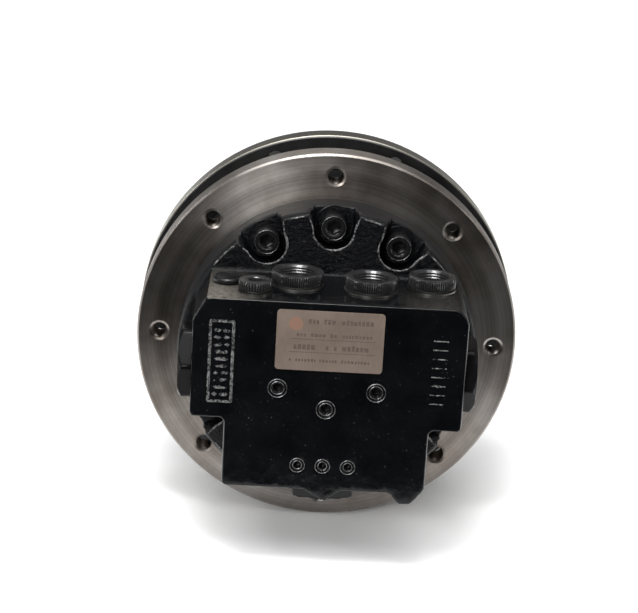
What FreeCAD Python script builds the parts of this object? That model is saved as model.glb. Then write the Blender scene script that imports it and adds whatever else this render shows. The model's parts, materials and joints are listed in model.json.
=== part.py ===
import FreeCAD, Part
import math
import os

# Travel motor: an axial piston hydraulic motor with a two-stage planetary reduction.
# Millimetres. The turning axis is Y, the valve end points to -Y, and +Z is up.
# The origin is the centre of the frame flange's mounting face.

V = FreeCAD.Vector
X = V(1, 0, 0)
Y = V(0, 1, 0)
Z = V(0, 0, 1)
O = V(0, 0, 0)

# --- driving dimensions -------------------------------------------------------------------
# Cutters run this far past the faces they open.
OVER = 1.0
# Radial play of a pin, ball or spool in its bore, and the gap between faces that only meet.
PIN_GAP = 0.05
FIT_GAP = 0.1

# Frame flange of the spindle, with its tapped and countersunk holes.
FLANGE_R = 119.0
FLANGE_T = 17.5
FLANGE_CHAMFER = 1.2
FRAME_BOLT_R = 105.0
FRAME_BOLTS = 8
M12_TAP_R = 5.1
M12_SINK_R = 6.5
M12_SINK_DEPTH = 0.45

# Round cover that centres the motor in the frame.
REGISTER_R = 92.0
REGISTER_END = -33.0
REGISTER_CHAMFER = 2.0
UNDERCUT_W = 2.0
UNDERCUT_R = 90.0

# Spindle, front to back.
BRAKE_BORE_R = 57.0
BRAKE_BORE_END = 19.0
CASE_BORE_R = 44.0
CASE_END = 63.0
SEAL_SEAT_R = 68.0
RACE_START = 33.0
RACE_R = 64.0
RACE_END = 71.0
NUT_THREAD_R = 60.0
NUT_R = 71.0
NUT_SLOTS = 6
NUT_SLOT = 8.0
NUT_SLOT_DEPTH = 4.0
SPINDLE_END = 80.0

# Drum with the sprocket flange and the ring gear.
SPROCKET_R = 120.0
SPROCKET_Y = 45.0
SPROCKET_T = 16.5
SPROCKET_BOLT_R = 110.0
SPROCKET_BOLTS = 9
HUB_R = 98.0
HUB_START = 20.0
PILOT_R = 100.0
PILOT_END = 76.0
PILOT_CHAMFER = 2.0
BEARING_BORE_R = 84.0
BEARING_BORE_END = 70.0
RELIEF_R = 79.0
RING_BLANK_R = 69.0
TEETH_START = 81.0
DRUM_END = 138.0

# End cover with its screws and oil plugs.
COVER_T = 12.0
COVER_FACE = DRUM_END + COVER_T
COVER_CHAMFER = 2.0
COVER_BOSS_R = 40.0
COVER_BOSS_H = 3.0
COVER_BOSS_SLOPE = 4.0
COVER_SCREW_R = 89.0
COVER_SCREWS = 12
COVER_SCREW_HOLE = 120.0
M8_R = 4.0
M8_LENGTH = 26.0
M8_HEAD_R = 6.5
M8_HEAD_H = 8.0
M8_SOCKET = 6.0
OIL_PLUG_PITCH_R = 58.0
OIL_PLUG_DEGS = (90, 210, 330)
OIL_PLUG_R = 8.3
OIL_PLUG_DEPTH = 10.0
OIL_PLUG_COLLAR = 2.5
OIL_PLUG_SOCKET = 8.0

# Gears: module 2.5 throughout, with the ring gear in the drum shared by both stages.
MODULE = 2.5
PRESSURE_DEG = 20
RING_TEETH = 60
ADDENDUM = 2.0
DEDENDUM = 3.0
BACKLASH = 0.3
STAGE_2 = {"sun": 18, "planet": 21, "first_deg": 30.0, "start": 83.0, "end": 105.0}
STAGE_1 = {"sun": 12, "planet": 24, "first_deg": 90.0, "start": 116.0, "end": 134.0}
PLANETS = 3
PIN_2_R = 9.0
PIN_2_START = 66.0
PIN_2_END = 106.5
PIN_1_R = 8.0
PIN_1_END = 136.0
CARRIER_R = 58.0
CARRIER_START = 108.0
CARRIER_END = 114.0
CARRIER_WINDOW_R = 17.0
CARRIER_WINDOW_PITCH_R = 52.0
SUN_1_BORE = 8.0
SUN_2_BORE = 11.0
SUN_2_HUB_R = 17.5

# Rotating group.
PISTONS = 9
PISTON_PITCH_R = 24.0
PISTON_R = 6.0
PISTON_START = 12.0
PISTON_END = 30.5
PISTON_NECK_R = 2.2
PISTON_BALL_R = 3.5
BALL_SEAT = 4.0
BLOCK_R = 36.0
BLOCK_START = 4.0
BLOCK_END = 30.0
BORE_FLOOR = 10.0
KIDNEY_R = 4.0
KIDNEY_SLOT_R = 3.5
KIDNEY_HALF_DEG = 50
KIDNEY_STEP_DEG = 10
VALVE_PLATE_IN_R = 12.5
VALVE_PLATE_R = 34.0
LAND_R = 38.0
LAND_START = 9.5
LAND_END = 17.5
CUP_R = 5.0
CUP_WALL = 1.0
CUP_START = 8.4
SOLE_R = 7.2
SOLE_START = 3.4
CUP_FLOOR = 3.0
RETAINER_START = 1.2
RETAINER_END = 3.3
RETAINER_PLAY = 0.3
GUIDE_R = 15.0
GUIDE_END = 3.6

# Swash plate, its cradle in the spindle and the piston that tilts it.
SWASH_Y = 44.0
SWASH_DEG = 8.0
SWASH_FACE = 5.0
SWASH_BACK = 11.0
SWASH_R = 33.0
SWASH_BORE_R = 15.0
CRADLE_R = 22.0
CRADLE_IN = 18.0
CRADLE_OUT = 30.0
CRADLE_PLAY = 0.5
SPEED_PISTON_R = 5.0
SPEED_PISTON_Z = 31.0
SPEED_PISTON_GAP = 0.15
SPEED_NOSE_R = 1.5
SPEED_NOSE_H = 2.5
SPEED_BORE_END = 78.0

# Drive shaft: radius and end of each step from the rear, the first one starting at SHAFT_START.
SHAFT_START = -14.0
SHAFT_SPLINE_R = 9.4
SHAFT_REAR_R = 8.5
SHAFT_STEPS = ((SHAFT_REAR_R, -2.0), (SHAFT_SPLINE_R, 59.0), (12.5, 81.0), (9.0, 114.0), (SUN_1_BORE, 136.0))

# Bearings: inner and outer radius, ball pitch radius and ball radius, width and ball count.
# RACE_GAP is the gap from ball centre to each race, in ball radii.
MAIN_BEARING = {"in": RACE_R, "out": BEARING_BORE_R, "pitch": 74.0, "ball": 5.5, "width": 14.0, "balls": 30}
FRONT_BEARING = {"in": 12.5, "out": 23.5, "pitch": 18.0, "ball": 3.0, "width": 12.0, "balls": 9}
REAR_BEARING = {"in": 8.5, "out": 17.5, "pitch": 13.0, "ball": 13.0 / 6, "width": 10.0, "balls": 9}
RACE_GAP = 0.55
FRONT_BEARING_Y = 68.0
REAR_BEARING_Y = -13.0
REAR_WELL_R = 12.5
REAR_WELL_DEPTH = 3.0
SPACER_T = 3.0
SHAFT_SEAL_IN_R = 12.55
SHAFT_SEAL_R = 17.0
SHAFT_SEAL_END = 67.0
OIL_BORE_R = 14.0

# Face seal: where its two rings meet, and the rubber rings that carry them.
SEAL_MEET = 26.5
SEAL_FIXED_RUBBER = {"pitch": 70.45, "r": 2.4, "y": 22.5}
SEAL_ROTATING_RUBBER = {"pitch": 81.3, "r": 2.65, "y": 30.3}

# Parking brake.
BRAKE_PLATE_IN_R = 41.0
BRAKE_PLATE_R = 56.5
BRAKE_PLATE_T = 1.9
BRAKE_PLATE_YS = (8.1, 12.5, 16.9)
FRICTION_R = 50.0
FRICTION_T = 2.3
FRICTION_YS = (10.1, 14.5)
BRAKE_PISTON_START = 1.7
BRAKE_PISTON_END = 8.0
BRAKE_SPRINGS = 8
BRAKE_SPRING_PITCH_R = 50.0
BRAKE_SPRING_POCKET_R = 5.5
BRAKE_SPRING_START = -18.0
BRAKE_SPRING = {"mean": 4.0, "wire": 0.8, "turns": 7}

# Valve block: its front face, outline (x, z, fillet) and the foundry pad under it.
BLOCK_FRONT = -88.0
BLOCK_TOP = 51.5
FACE_LEFT = -80.2
FACE_RIGHT = 80.9
BLOCK_CORNERS = (
    (-72.5, BLOCK_TOP, 2), (FACE_RIGHT, BLOCK_TOP, 11), (FACE_RIGHT, -24.5, 3), (61.7, -24.5, 3),
    (61.7, -62.0, 2), (53.8, -72.4, 3), (46.6, -72.4, 3), (41.0, -65.8, 3),
    (11.4, -65.8, 2), (1.7, -73.1, 3), (-10.6, -65.8, 2), (-59.8, -65.8, 4),
    (-59.8, -22.8, 3), (FACE_LEFT, -22.8, 3), (FACE_LEFT, 37.5, 3),
)
PAD_LEFT = -16.8
PAD_W = 37.5
PAD_FRONT = -46.0
PAD_DEEP = 20.0
PAD_R = 90.0

# Screws that hold the cover, each in a pocket open to the cover's edge.
SCREW_PITCH_R = 80.0
SCREW_DEGS = (60, 90, 120, 208, 332)
SCREW_SEAT = -18.0
SCREW_TIP = 12.0
SCREW_HOLE_END = 15.0
SCREW_PLAY = 0.5
M10_R = 5.0
M10_HEAD_R = 8.0
M10_HEAD_H = 10.0
M10_SOCKET = 8.0
POCKET_R = 12.5
POCKET_RUN = 20.0

# Counterbalance valve across the block, with a hexagon cap at each end.
VALVE_Y = -60.0
VALVE_Z = 3.0
VALVE_R = 12.0
CHAMBER_R = 16.0
CHAMBER_X = 62.0
CHAMBER_RUN = 30.0
HEX_AF = 41.0
HEX_OUTER_X = 88.5
HEX_TURN_DEG = 7.5
HEX_CHAMFER = 2.5
HEX_CHAMFER_IN = 3.2
SPRING_WELL_R = 10.8
SPRING_WELL = 12.0
SPOOL_HALF = 34.0
SPOOL_GROOVES = (-24.0, -4.0, 16.0)
SPOOL_GROOVE_W = 8.0
SPOOL_GROOVE_DEPTH = 3.5
SPOOL_WELL_R = 5.0
VALVE_SPRING = {"mean": 8.5, "wire": 1.2, "turns": 7}

# Ports on the top face: centre, thread core radius and depth, cap radius, height and ribs.
PORT_A = {"x": -20.5, "y": -52.9, "r": 9.3, "depth": 20.0, "cap_r": 15.5, "cap_h": 8.6, "ribs": 44}
PORT_B = {"x": 23.4, "y": -57.4, "r": 9.3, "depth": 20.0, "cap_r": 15.5, "cap_h": 8.6, "ribs": 44}
PORT_DRAIN = {"x": 59.9, "y": -48.9, "r": 7.6, "depth": 20.0, "cap_r": 14.2, "cap_h": 8.6, "ribs": 40}
PORT_PILOT = {"x": -44.9, "y": -71.1, "r": 5.8, "depth": 14.0, "cap_r": 9.8, "cap_h": 7.5, "ribs": 16}
PORTS = (PORT_A, PORT_B, PORT_DRAIN, PORT_PILOT)
MOUTH_DEPTH = 4.0
MOUTH_STEP = 1.5
PASSAGE_R = 6.0
KIDNEY_PASSAGE_FRONT = 5.0
CASE_DRAIN = V(35, 1, 26)
CASE_DRAIN_R = 3.5
CASE_DRAIN_RISE = 2.0
PILOT_WAY_R = 2.0
PILOT_WAY_Z = 40.0
PILOT_WAY_STOP = 4.0

# Shipping caps and the washers under them.
WASHER_T = 1.0
WASHER_LIP = 0.4
WASHER_PLAY = 0.2
CAP_WALL = 0.6
CAP_BORE = 0.72
CAP_FLOOR = 2.0
RIB_IN = 1.1
RIB_OUT = 0.1
RIB_W = 1.1
RIB_SHORT = 1.5
STEM_PLAY = 0.2
STEM_LIFT = 0.3
STEM_H = 5.5

# Two-speed valve under its round plug.
SPEED_X = -61.6
SPEED_Y = -54.3
SPEED_SPOOL_R = 6.0
SPEED_SPOOL_H = 14.0
SPEED_NECK_DROP = 5.0
SPEED_NECK_H = 4.0
SPEED_NECK_DEPTH = 2.0
SPEED_PLUG_R = 7.0
SPEED_PLUG_HEAD_R = 9.0
SPEED_PLUG_HEAD_H = 3.6
SPEED_PLUG_CHAMFER = 0.8
SPEED_PLUG_FLOOR = 44.0
SPEED_BORE_FLOOR = 19.0
SPEED_SPRING = {"mean": 4.2, "wire": 0.7, "turns": 5}

# Plugs of the oil galleries and the nameplate on the front face.
LARGE_PLUGS = {"spots": ((-29.0, -2.0), (29.0, -2.0), (0.0, -14.0)), "r": 5.0, "depth": 11.0, "socket": 5.0}
SMALL_PLUGS = {"spots": ((-15.0, -50.0), (0.0, -50.0), (15.0, -50.0)), "r": 3.75, "depth": 9.0, "socket": 4.0}
PLUG_COLLAR = 1.1
PLUG_PROUD = 0.6
PLUG_SOCKET_DEPTH = 4.0
GALLERY_RUN = 8.0
PLATE_T = 0.8
PLATE_CORNERS = ((-31.3, 10.0, 2), (31.6, 10.0, 2), (31.6, 46.8, 2), (-31.3, 46.8, 2))


# --- shape helpers ------------------------------------------------------------------------
def save(name, shape):
    shape.exportStep("parts/" + name + ".step")


def rod(radius, start, direction, length):
    return Part.makeCylinder(radius, length, start, direction)


def disc(radius, y0, y1, x=0.0, z=0.0):
    return rod(radius, V(x, y0, z), Y, y1 - y0)


def tube(inner, outer, y0, y1):
    return disc(outer, y0, y1).cut(disc(inner, y0 - OVER, y1 + OVER))


def turned(points):
    """A solid of revolution about Y from a closed list of (radius, y)."""
    corners = [V(r, y, 0) for r, y in points]
    face = Part.Face(Part.makePolygon(corners + corners[:1]))
    return face.revolve(O, Y, 360)


def at_angle(radius, degrees, y=0.0):
    """The point at this radius and angle from +X towards +Z."""
    angle = math.radians(degrees)
    return V(radius * math.cos(angle), y, radius * math.sin(angle))


def group(shapes):
    return Part.makeCompound(shapes)


def subtract(shape, cutters):
    for cutter in cutters:
        shape = shape.cut(cutter)
    return shape


def hexagon(across_flats, centre, axis, length, turn_deg=0.0):
    """A hexagonal prism from centre along axis."""
    radius = across_flats / math.sqrt(3)
    side = Z if abs(axis.z) < 0.5 else X
    up = axis.cross(side)
    corners = []
    for i in range(7):
        angle = math.radians(60 * i + turn_deg)
        corners.append(centre + side * radius * math.cos(angle) + up * radius * math.sin(angle))
    return Part.Face(Part.makePolygon(corners)).extrude(axis * length)


def rounded_outline(corners):
    """A closed XZ outline at y=0; each corner is (x, z, fillet radius)."""
    count = len(corners)
    edges = []
    ends = []
    for i, (x, z, radius) in enumerate(corners):
        here = V(x, 0, z)
        before = V(corners[i - 1][0], 0, corners[i - 1][1]) - here
        after = V(corners[(i + 1) % count][0], 0, corners[(i + 1) % count][1]) - here
        before.normalize()
        after.normalize()
        if radius == 0:
            ends.append((here, here))
            continue
        half = before.getAngle(after) / 2
        reach = radius / math.tan(half)
        middle_way = before + after
        middle_way.normalize()
        centre = here + middle_way * (radius / math.sin(half))
        start = here + before * reach
        stop = here + after * reach
        edges.append(Part.Arc(start, centre - middle_way * radius, stop).toShape())
        ends.append((start, stop))
    for i in range(count):
        edges.append(Part.makeLine(ends[i][1], ends[(i + 1) % count][0]))
    return Part.Face(Part.Wire(Part.__sortEdges__(edges)))


def coil_spring(size, length):
    """A helical spring along +Z from the origin, its wire's centre line ending inside length."""
    height = length - 2 * size["wire"]
    pitch = height / size["turns"]
    helix = Part.makeHelix(pitch, height, size["mean"])
    start = V(size["mean"], 0, 0)
    tangent = V(0, 2 * math.pi * size["mean"], pitch)
    section = Part.Wire(Part.makeCircle(size["wire"], start, tangent))
    spring = Part.Wire(helix).makePipeShell([section], True, True)
    spring.translate(V(0, 0, size["wire"]))
    return spring


def placed(shape, position, axis):
    """The shape built along +Z, moved so that it runs along axis from position."""
    copy = shape.copy()
    copy.Placement = FreeCAD.Placement(position, FreeCAD.Rotation(Z, axis)).multiply(copy.Placement)
    return copy


# --- gear teeth ---------------------------------------------------------------------------
def tooth_half_angle(radius, pitch_radius, base_radius, half_thickness):
    """Half the tooth's angle at this radius, for an involute flank."""

    def involute(r):
        pressure = math.acos(min(1.0, base_radius / r))
        return math.tan(pressure) - pressure

    return half_thickness / pitch_radius + involute(pitch_radius) - involute(max(radius, base_radius))


def toothed_face(teeth, tip, root, play, first_tooth_rad):
    """A gear's face in the XZ plane. A negative play widens the teeth."""
    pitch_radius = MODULE * teeth / 2
    base_radius = pitch_radius * math.cos(math.radians(PRESSURE_DEG))
    half = MODULE * math.pi / 4 - play / 2
    start = max(base_radius, root)

    def point(radius, angle):
        return V(radius * math.cos(angle), 0, radius * math.sin(angle))

    edges = []
    for i in range(teeth):
        middle = first_tooth_rad + 2 * math.pi * i / teeth
        following = middle + 2 * math.pi / teeth
        radii = (start, (start + tip) / 2, tip)
        halves = [tooth_half_angle(r, pitch_radius, base_radius, half) for r in radii]
        low = [point(r, middle - h) for r, h in zip(radii, halves)]
        high = [point(r, middle + h) for r, h in zip(radii, halves)]
        root_high = point(root, middle + halves[0])
        root_next = point(root, following - halves[0])
        edges.append(Part.Arc(low[0], low[1], low[2]).toShape())
        edges.append(Part.Arc(low[2], point(tip, middle), high[2]).toShape())
        edges.append(Part.Arc(high[2], high[1], high[0]).toShape())
        if start > root:
            edges.append(Part.makeLine(high[0], root_high))
            edges.append(Part.makeLine(root_next, point(start, following - halves[0])))
        edges.append(Part.Arc(root_high, point(root, (middle + following) / 2), root_next).toShape())
    return Part.Face(Part.Wire(Part.__sortEdges__(edges)))


def gear(teeth, first_tooth_rad, y0, y1):
    pitch_radius = MODULE * teeth / 2
    tip = pitch_radius + ADDENDUM
    face = toothed_face(teeth, tip, pitch_radius - DEDENDUM, BACKLASH / 2, first_tooth_rad)
    solid = face.extrude(Y * (y1 - y0))
    solid.translate(Y * y0)
    return solid


def ring_cutter(y0, y1):
    """The space inside the ring gear, with a tooth space centred on +X."""
    pitch_radius = MODULE * RING_TEETH / 2
    tip = pitch_radius + DEDENDUM
    face = toothed_face(RING_TEETH, tip, pitch_radius - ADDENDUM, -BACKLASH / 2, 0.0)
    solid = face.extrude(Y * (y1 - y0))
    solid.translate(Y * y0)
    return solid


def pin_radius(stage):
    return MODULE * (stage["sun"] + stage["planet"]) / 2


def planet_angles(stage):
    return [stage["first_deg"] + 360.0 * i / PLANETS for i in range(PLANETS)]


def planet_gear(stage, degrees, bore):
    """A planet in mesh with the ring, at this angle round the main axis."""
    place = math.radians(degrees)
    phase = place - place * RING_TEETH / stage["planet"]
    solid = gear(stage["planet"], phase, stage["start"], stage["end"])
    solid = solid.cut(disc(bore, stage["start"] - OVER, stage["end"] + OVER))
    solid.translate(at_angle(pin_radius(stage), degrees))
    return solid


def sun_gear(stage, bore, hub_r, end):
    """The sun in mesh with the planets, its teeth phased from the first planet, and its hub behind."""
    place = math.radians(stage["first_deg"])
    phase = ((stage["sun"] + RING_TEETH) * place + (stage["planet"] - 1) * math.pi) / stage["sun"]
    solid = gear(stage["sun"], phase, stage["start"], stage["end"])
    if end > stage["end"]:
        solid = solid.fuse(disc(hub_r, stage["end"], end))
    return solid.cut(disc(bore, stage["start"] - OVER, end + OVER))


# --- the fixed body -----------------------------------------------------------------------
def spindle():
    c = FLANGE_CHAMFER
    bearing_r = FRONT_BEARING["out"]
    body = turned([
        (BRAKE_BORE_R, 0), (FLANGE_R - c, 0), (FLANGE_R, c), (FLANGE_R, FLANGE_T - c),
        (FLANGE_R - c, FLANGE_T), (SEAL_SEAT_R, FLANGE_T), (SEAL_SEAT_R, RACE_START),
        (RACE_R, RACE_START), (RACE_R, RACE_END), (NUT_THREAD_R, RACE_END),
        (NUT_THREAD_R, SPINDLE_END), (bearing_r, SPINDLE_END), (bearing_r, FRONT_BEARING_Y),
        (OIL_BORE_R, FRONT_BEARING_Y), (OIL_BORE_R, SHAFT_SEAL_END), (SHAFT_SEAL_R, SHAFT_SEAL_END),
        (SHAFT_SEAL_R, CASE_END), (CASE_BORE_R, CASE_END), (CASE_BORE_R, BRAKE_BORE_END),
        (BRAKE_BORE_R, BRAKE_BORE_END),
    ])
    cutters = []
    for i in range(FRAME_BOLTS):
        spot = at_angle(FRAME_BOLT_R, 360.0 * i / FRAME_BOLTS)
        cutters.append(disc(M12_TAP_R, -OVER, FLANGE_T + OVER, spot.x, spot.z))
        cutters.append(Part.makeCone(M12_SINK_R, M12_TAP_R, M12_SINK_DEPTH, spot, Y))
    for degrees in SCREW_DEGS:
        spot = at_angle(SCREW_PITCH_R, degrees)
        cutters.append(disc(M10_R + PIN_GAP, -OVER, SCREW_HOLE_END, spot.x, spot.z))
    for degrees in planet_angles(STAGE_2):
        spot = at_angle(pin_radius(STAGE_2), degrees)
        cutters.append(disc(PIN_2_R, PIN_2_START, SPINDLE_END + OVER, spot.x, spot.z))
    for side in (-1, 1):
        start = V(side * (CRADLE_IN - CRADLE_PLAY), SWASH_Y, 0)
        length = CRADLE_OUT - CRADLE_IN + 2 * CRADLE_PLAY
        cutters.append(rod(CRADLE_R + PIN_GAP, start, X * side, length))
    cutters.append(disc(SPEED_PISTON_R + PIN_GAP, CASE_END - OVER, SPEED_BORE_END, 0, SPEED_PISTON_Z))
    return subtract(body, cutters)


def port_block():
    """One casting: the round cover, the valve block in front of it and a foundry pad under that."""
    c = REGISTER_CHAMFER
    cover = turned([
        (0, REGISTER_END), (REGISTER_R - c, REGISTER_END), (REGISTER_R, REGISTER_END + c),
        (REGISTER_R, -UNDERCUT_W), (UNDERCUT_R, -UNDERCUT_W), (UNDERCUT_R, 0), (0, 0),
    ])
    head = rounded_outline(BLOCK_CORNERS).extrude(Y * (SCREW_SEAT - BLOCK_FRONT))
    head.translate(Y * BLOCK_FRONT)
    pad = Part.makeBox(PAD_W, PAD_DEEP, PAD_DEEP, V(PAD_LEFT, PAD_FRONT, -REGISTER_R))
    pad = pad.common(disc(PAD_R, PAD_FRONT - OVER, 0))
    pockets = []
    for degrees in SCREW_DEGS:
        spot = at_angle(SCREW_PITCH_R, degrees)
        round_end = disc(POCKET_R, REGISTER_END - OVER, SCREW_SEAT, spot.x, spot.z)
        corner = V(SCREW_PITCH_R, REGISTER_END - OVER, -POCKET_R)
        slot = Part.makeBox(POCKET_RUN, SCREW_SEAT - REGISTER_END + OVER, 2 * POCKET_R, corner)
        slot.rotate(O, Y, -degrees)
        pockets.append(round_end.fuse(slot))
    body = subtract(cover, pockets).fuse(head).fuse(pad)
    bores = screw_bores() + valve_bores() + port_bores() + case_bores() + gallery_bores()
    return subtract(body, bores).removeSplitter()


def screw_bores():
    bores = []
    for degrees in SCREW_DEGS:
        spot = at_angle(SCREW_PITCH_R, degrees)
        bores.append(disc(M10_R + SCREW_PLAY, SCREW_SEAT - OVER, OVER, spot.x, spot.z))
    return bores


def valve_bores():
    """The counterbalance valve's bore, with a wider threaded chamber at each end."""
    bores = [rod(VALVE_R, V(-CHAMBER_X, VALVE_Y, VALVE_Z), X, 2 * CHAMBER_X)]
    for side in (-1, 1):
        bores.append(rod(CHAMBER_R, V(side * CHAMBER_X, VALVE_Y, VALVE_Z), X * side, CHAMBER_RUN))
    return bores


def port_bores():
    bores = []
    for port in PORTS:
        mouth = V(port["x"], port["y"], BLOCK_TOP + OVER)
        bores.append(rod(port["r"], mouth, -Z, port["depth"] + OVER))
        bores.append(rod(port["r"] + MOUTH_STEP, mouth, -Z, MOUTH_DEPTH + OVER))
    # The work ports run down to the counterbalance valve, and from there back to the kidneys.
    for port in (PORT_A, PORT_B):
        bores.append(rod(PASSAGE_R, V(port["x"], port["y"], BLOCK_TOP - OVER), -Z, BLOCK_TOP - VALVE_Z))
        side = math.copysign(1, port["x"])
        kidney = V(side * PISTON_PITCH_R, VALVE_Y + KIDNEY_PASSAGE_FRONT, 0)
        bores.append(rod(KIDNEY_R, kidney, Y, -VALVE_Y))
    # The case drain runs down and back to the motor case.
    drain = V(PORT_DRAIN["x"], PORT_DRAIN["y"], BLOCK_TOP - PORT_DRAIN["depth"] + CASE_DRAIN_RISE)
    drain_way = CASE_DRAIN - drain
    bores.append(rod(CASE_DRAIN_R, drain, drain_way, drain_way.Length))
    # The two-speed spool's bore under its plug is fed from the pilot port.
    speed = V(SPEED_X, SPEED_Y, SPEED_BORE_FLOOR)
    bores.append(rod(SPEED_SPOOL_R + PIN_GAP, speed, Z, BLOCK_TOP - SPEED_BORE_FLOOR + OVER))
    plug = V(SPEED_X, SPEED_Y, SPEED_PLUG_FLOOR)
    bores.append(rod(SPEED_PLUG_R, plug, Z, BLOCK_TOP - SPEED_PLUG_FLOOR + OVER))
    pilot = V(PORT_PILOT["x"], PORT_PILOT["y"], BLOCK_TOP - PORT_PILOT["depth"] + OVER)
    pilot_way = V(SPEED_X, SPEED_Y, PILOT_WAY_Z) - pilot
    bores.append(rod(PILOT_WAY_R, pilot, pilot_way, pilot_way.Length - PILOT_WAY_STOP))
    return bores


def case_bores():
    """Pockets of the brake springs and the seat of the rear shaft bearing."""
    bores = []
    for i in range(BRAKE_SPRINGS):
        spot = at_angle(BRAKE_SPRING_PITCH_R, 360.0 * i / BRAKE_SPRINGS)
        bores.append(disc(BRAKE_SPRING_POCKET_R, BRAKE_SPRING_START, OVER, spot.x, spot.z))
    bores.append(disc(REAR_BEARING["out"], REAR_BEARING_Y, OVER))
    bores.append(disc(REAR_WELL_R, REAR_BEARING_Y - REAR_WELL_DEPTH, OVER))
    return bores


def gallery_bores():
    bores = []
    for plugs in (LARGE_PLUGS, SMALL_PLUGS):
        floor = BLOCK_FRONT + plugs["depth"]
        for x, z in plugs["spots"]:
            bores.append(disc(plugs["r"], BLOCK_FRONT - OVER, floor, x, z))
            bores.append(disc(plugs["r"] / 2, BLOCK_FRONT, floor + GALLERY_RUN, x, z))
    return bores


def socket_screw(seat, direction, shank_r, shank, head_r, head_h, socket_af):
    """A socket head screw; direction points from the head's seat to the tip."""
    head = rod(head_r, seat, -direction, head_h)
    body = head.fuse(rod(shank_r, seat, direction, shank))
    socket = hexagon(socket_af, seat - direction * head_h, direction, head_h / 2)
    return body.cut(socket)


def cover_screws():
    screws = []
    for degrees in SCREW_DEGS:
        seat = at_angle(SCREW_PITCH_R, degrees, SCREW_SEAT)
        screw = socket_screw(seat, Y, M10_R, SCREW_TIP - SCREW_SEAT, M10_HEAD_R, M10_HEAD_H, M10_SOCKET)
        screws.append(screw)
    return group(screws)


def gallery_plugs(plugs):
    """Hex socket plugs with a thin collar, screwed into the block's front face."""
    made = []
    radius = plugs["r"]
    for x, z in plugs["spots"]:
        body = disc(radius, BLOCK_FRONT, BLOCK_FRONT + plugs["depth"], x, z)
        collar = disc(radius + PLUG_COLLAR, BLOCK_FRONT - PLUG_PROUD, BLOCK_FRONT, x, z)
        mouth = V(x, BLOCK_FRONT - PLUG_PROUD, z)
        socket = hexagon(plugs["socket"], mouth, Y, PLUG_SOCKET_DEPTH + PLUG_PROUD)
        made.append(body.fuse(collar).cut(socket))
    return group(made)


def nameplate():
    plate = rounded_outline(PLATE_CORNERS).extrude(Y * PLATE_T)
    plate.translate(Y * (BLOCK_FRONT - PLATE_T))
    return plate


def valve_cap(face_x):
    """A hexagon-headed screw cap that closes the counterbalance valve at this face of the block."""
    side = math.copysign(1, face_x)
    axis = X * side
    face = V(face_x, VALVE_Y, VALVE_Z)
    height = HEX_OUTER_X - abs(face_x)
    head = hexagon(HEX_AF, face, axis, height, HEX_TURN_DEG * side)
    corner_r = HEX_AF / math.sqrt(3)
    keep = rod(corner_r + OVER, face, axis, height - HEX_CHAMFER)
    shoulder = face + axis * (height - HEX_CHAMFER)
    cone = Part.makeCone(corner_r, corner_r - HEX_CHAMFER_IN, HEX_CHAMFER, shoulder, axis)
    head = head.common(keep.fuse(cone))
    thread_start = V(side * (CHAMBER_X + OVER), VALVE_Y, VALVE_Z)
    thread = rod(CHAMBER_R, thread_start, axis, abs(face_x) - CHAMBER_X - OVER)
    well = rod(SPRING_WELL_R, V(side * CHAMBER_X, VALVE_Y, VALVE_Z), axis, SPRING_WELL)
    return head.fuse(thread).cut(well)


def counterbalance_spool():
    radius = VALVE_R - PIN_GAP
    start = V(-SPOOL_HALF, VALVE_Y, VALVE_Z)
    body = rod(radius, start, X, 2 * SPOOL_HALF)
    for x in SPOOL_GROOVES:
        centre = V(x, VALVE_Y, VALVE_Z)
        core = rod(radius - SPOOL_GROOVE_DEPTH, centre, X, SPOOL_GROOVE_W)
        body = body.cut(rod(radius + OVER, centre, X, SPOOL_GROOVE_W).cut(core))
    for side in (-1, 1):
        end = V(side * SPOOL_HALF, VALVE_Y, VALVE_Z)
        body = body.cut(rod(SPOOL_WELL_R, end, X * -side, SPOOL_GROOVE_W))
    return body


def counterbalance_spring(side):
    length = CHAMBER_X + SPRING_WELL - SPOOL_HALF
    return placed(coil_spring(VALVE_SPRING, length), V(side * SPOOL_HALF, VALVE_Y, VALVE_Z), X * side)


def speed_valve_plug():
    head = rod(SPEED_PLUG_HEAD_R, V(SPEED_X, SPEED_Y, BLOCK_TOP), Z, SPEED_PLUG_HEAD_H)
    rim = [edge for edge in head.Edges if edge.BoundBox.ZMin > BLOCK_TOP]
    head = head.makeChamfer(SPEED_PLUG_CHAMFER, rim)
    thread = rod(SPEED_PLUG_R, V(SPEED_X, SPEED_Y, SPEED_PLUG_FLOOR), Z, BLOCK_TOP - SPEED_PLUG_FLOOR)
    return head.fuse(thread)


def speed_spool():
    base = V(SPEED_X, SPEED_Y, SPEED_PLUG_FLOOR - FIT_GAP)
    neck = base - Z * SPEED_NECK_DROP
    groove = rod(SPEED_SPOOL_R + OVER, neck, -Z, SPEED_NECK_H)
    groove = groove.cut(rod(SPEED_SPOOL_R - SPEED_NECK_DEPTH, neck, -Z, SPEED_NECK_H))
    return rod(SPEED_SPOOL_R, base, -Z, SPEED_SPOOL_H).cut(groove)


def speed_spring():
    length = SPEED_PLUG_FLOOR - FIT_GAP - SPEED_SPOOL_H - SPEED_BORE_FLOOR
    return placed(coil_spring(SPEED_SPRING, length), V(SPEED_X, SPEED_Y, SPEED_BORE_FLOOR), Z)


def port_washers():
    washers = []
    for port in PORTS:
        base = V(port["x"], port["y"], BLOCK_TOP)
        outer = rod(port["cap_r"] + WASHER_LIP, base, Z, WASHER_T)
        washers.append(outer.cut(rod(port["r"] + MOUTH_STEP + WASHER_PLAY, base, Z, WASHER_T)))
    return group(washers)


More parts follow.
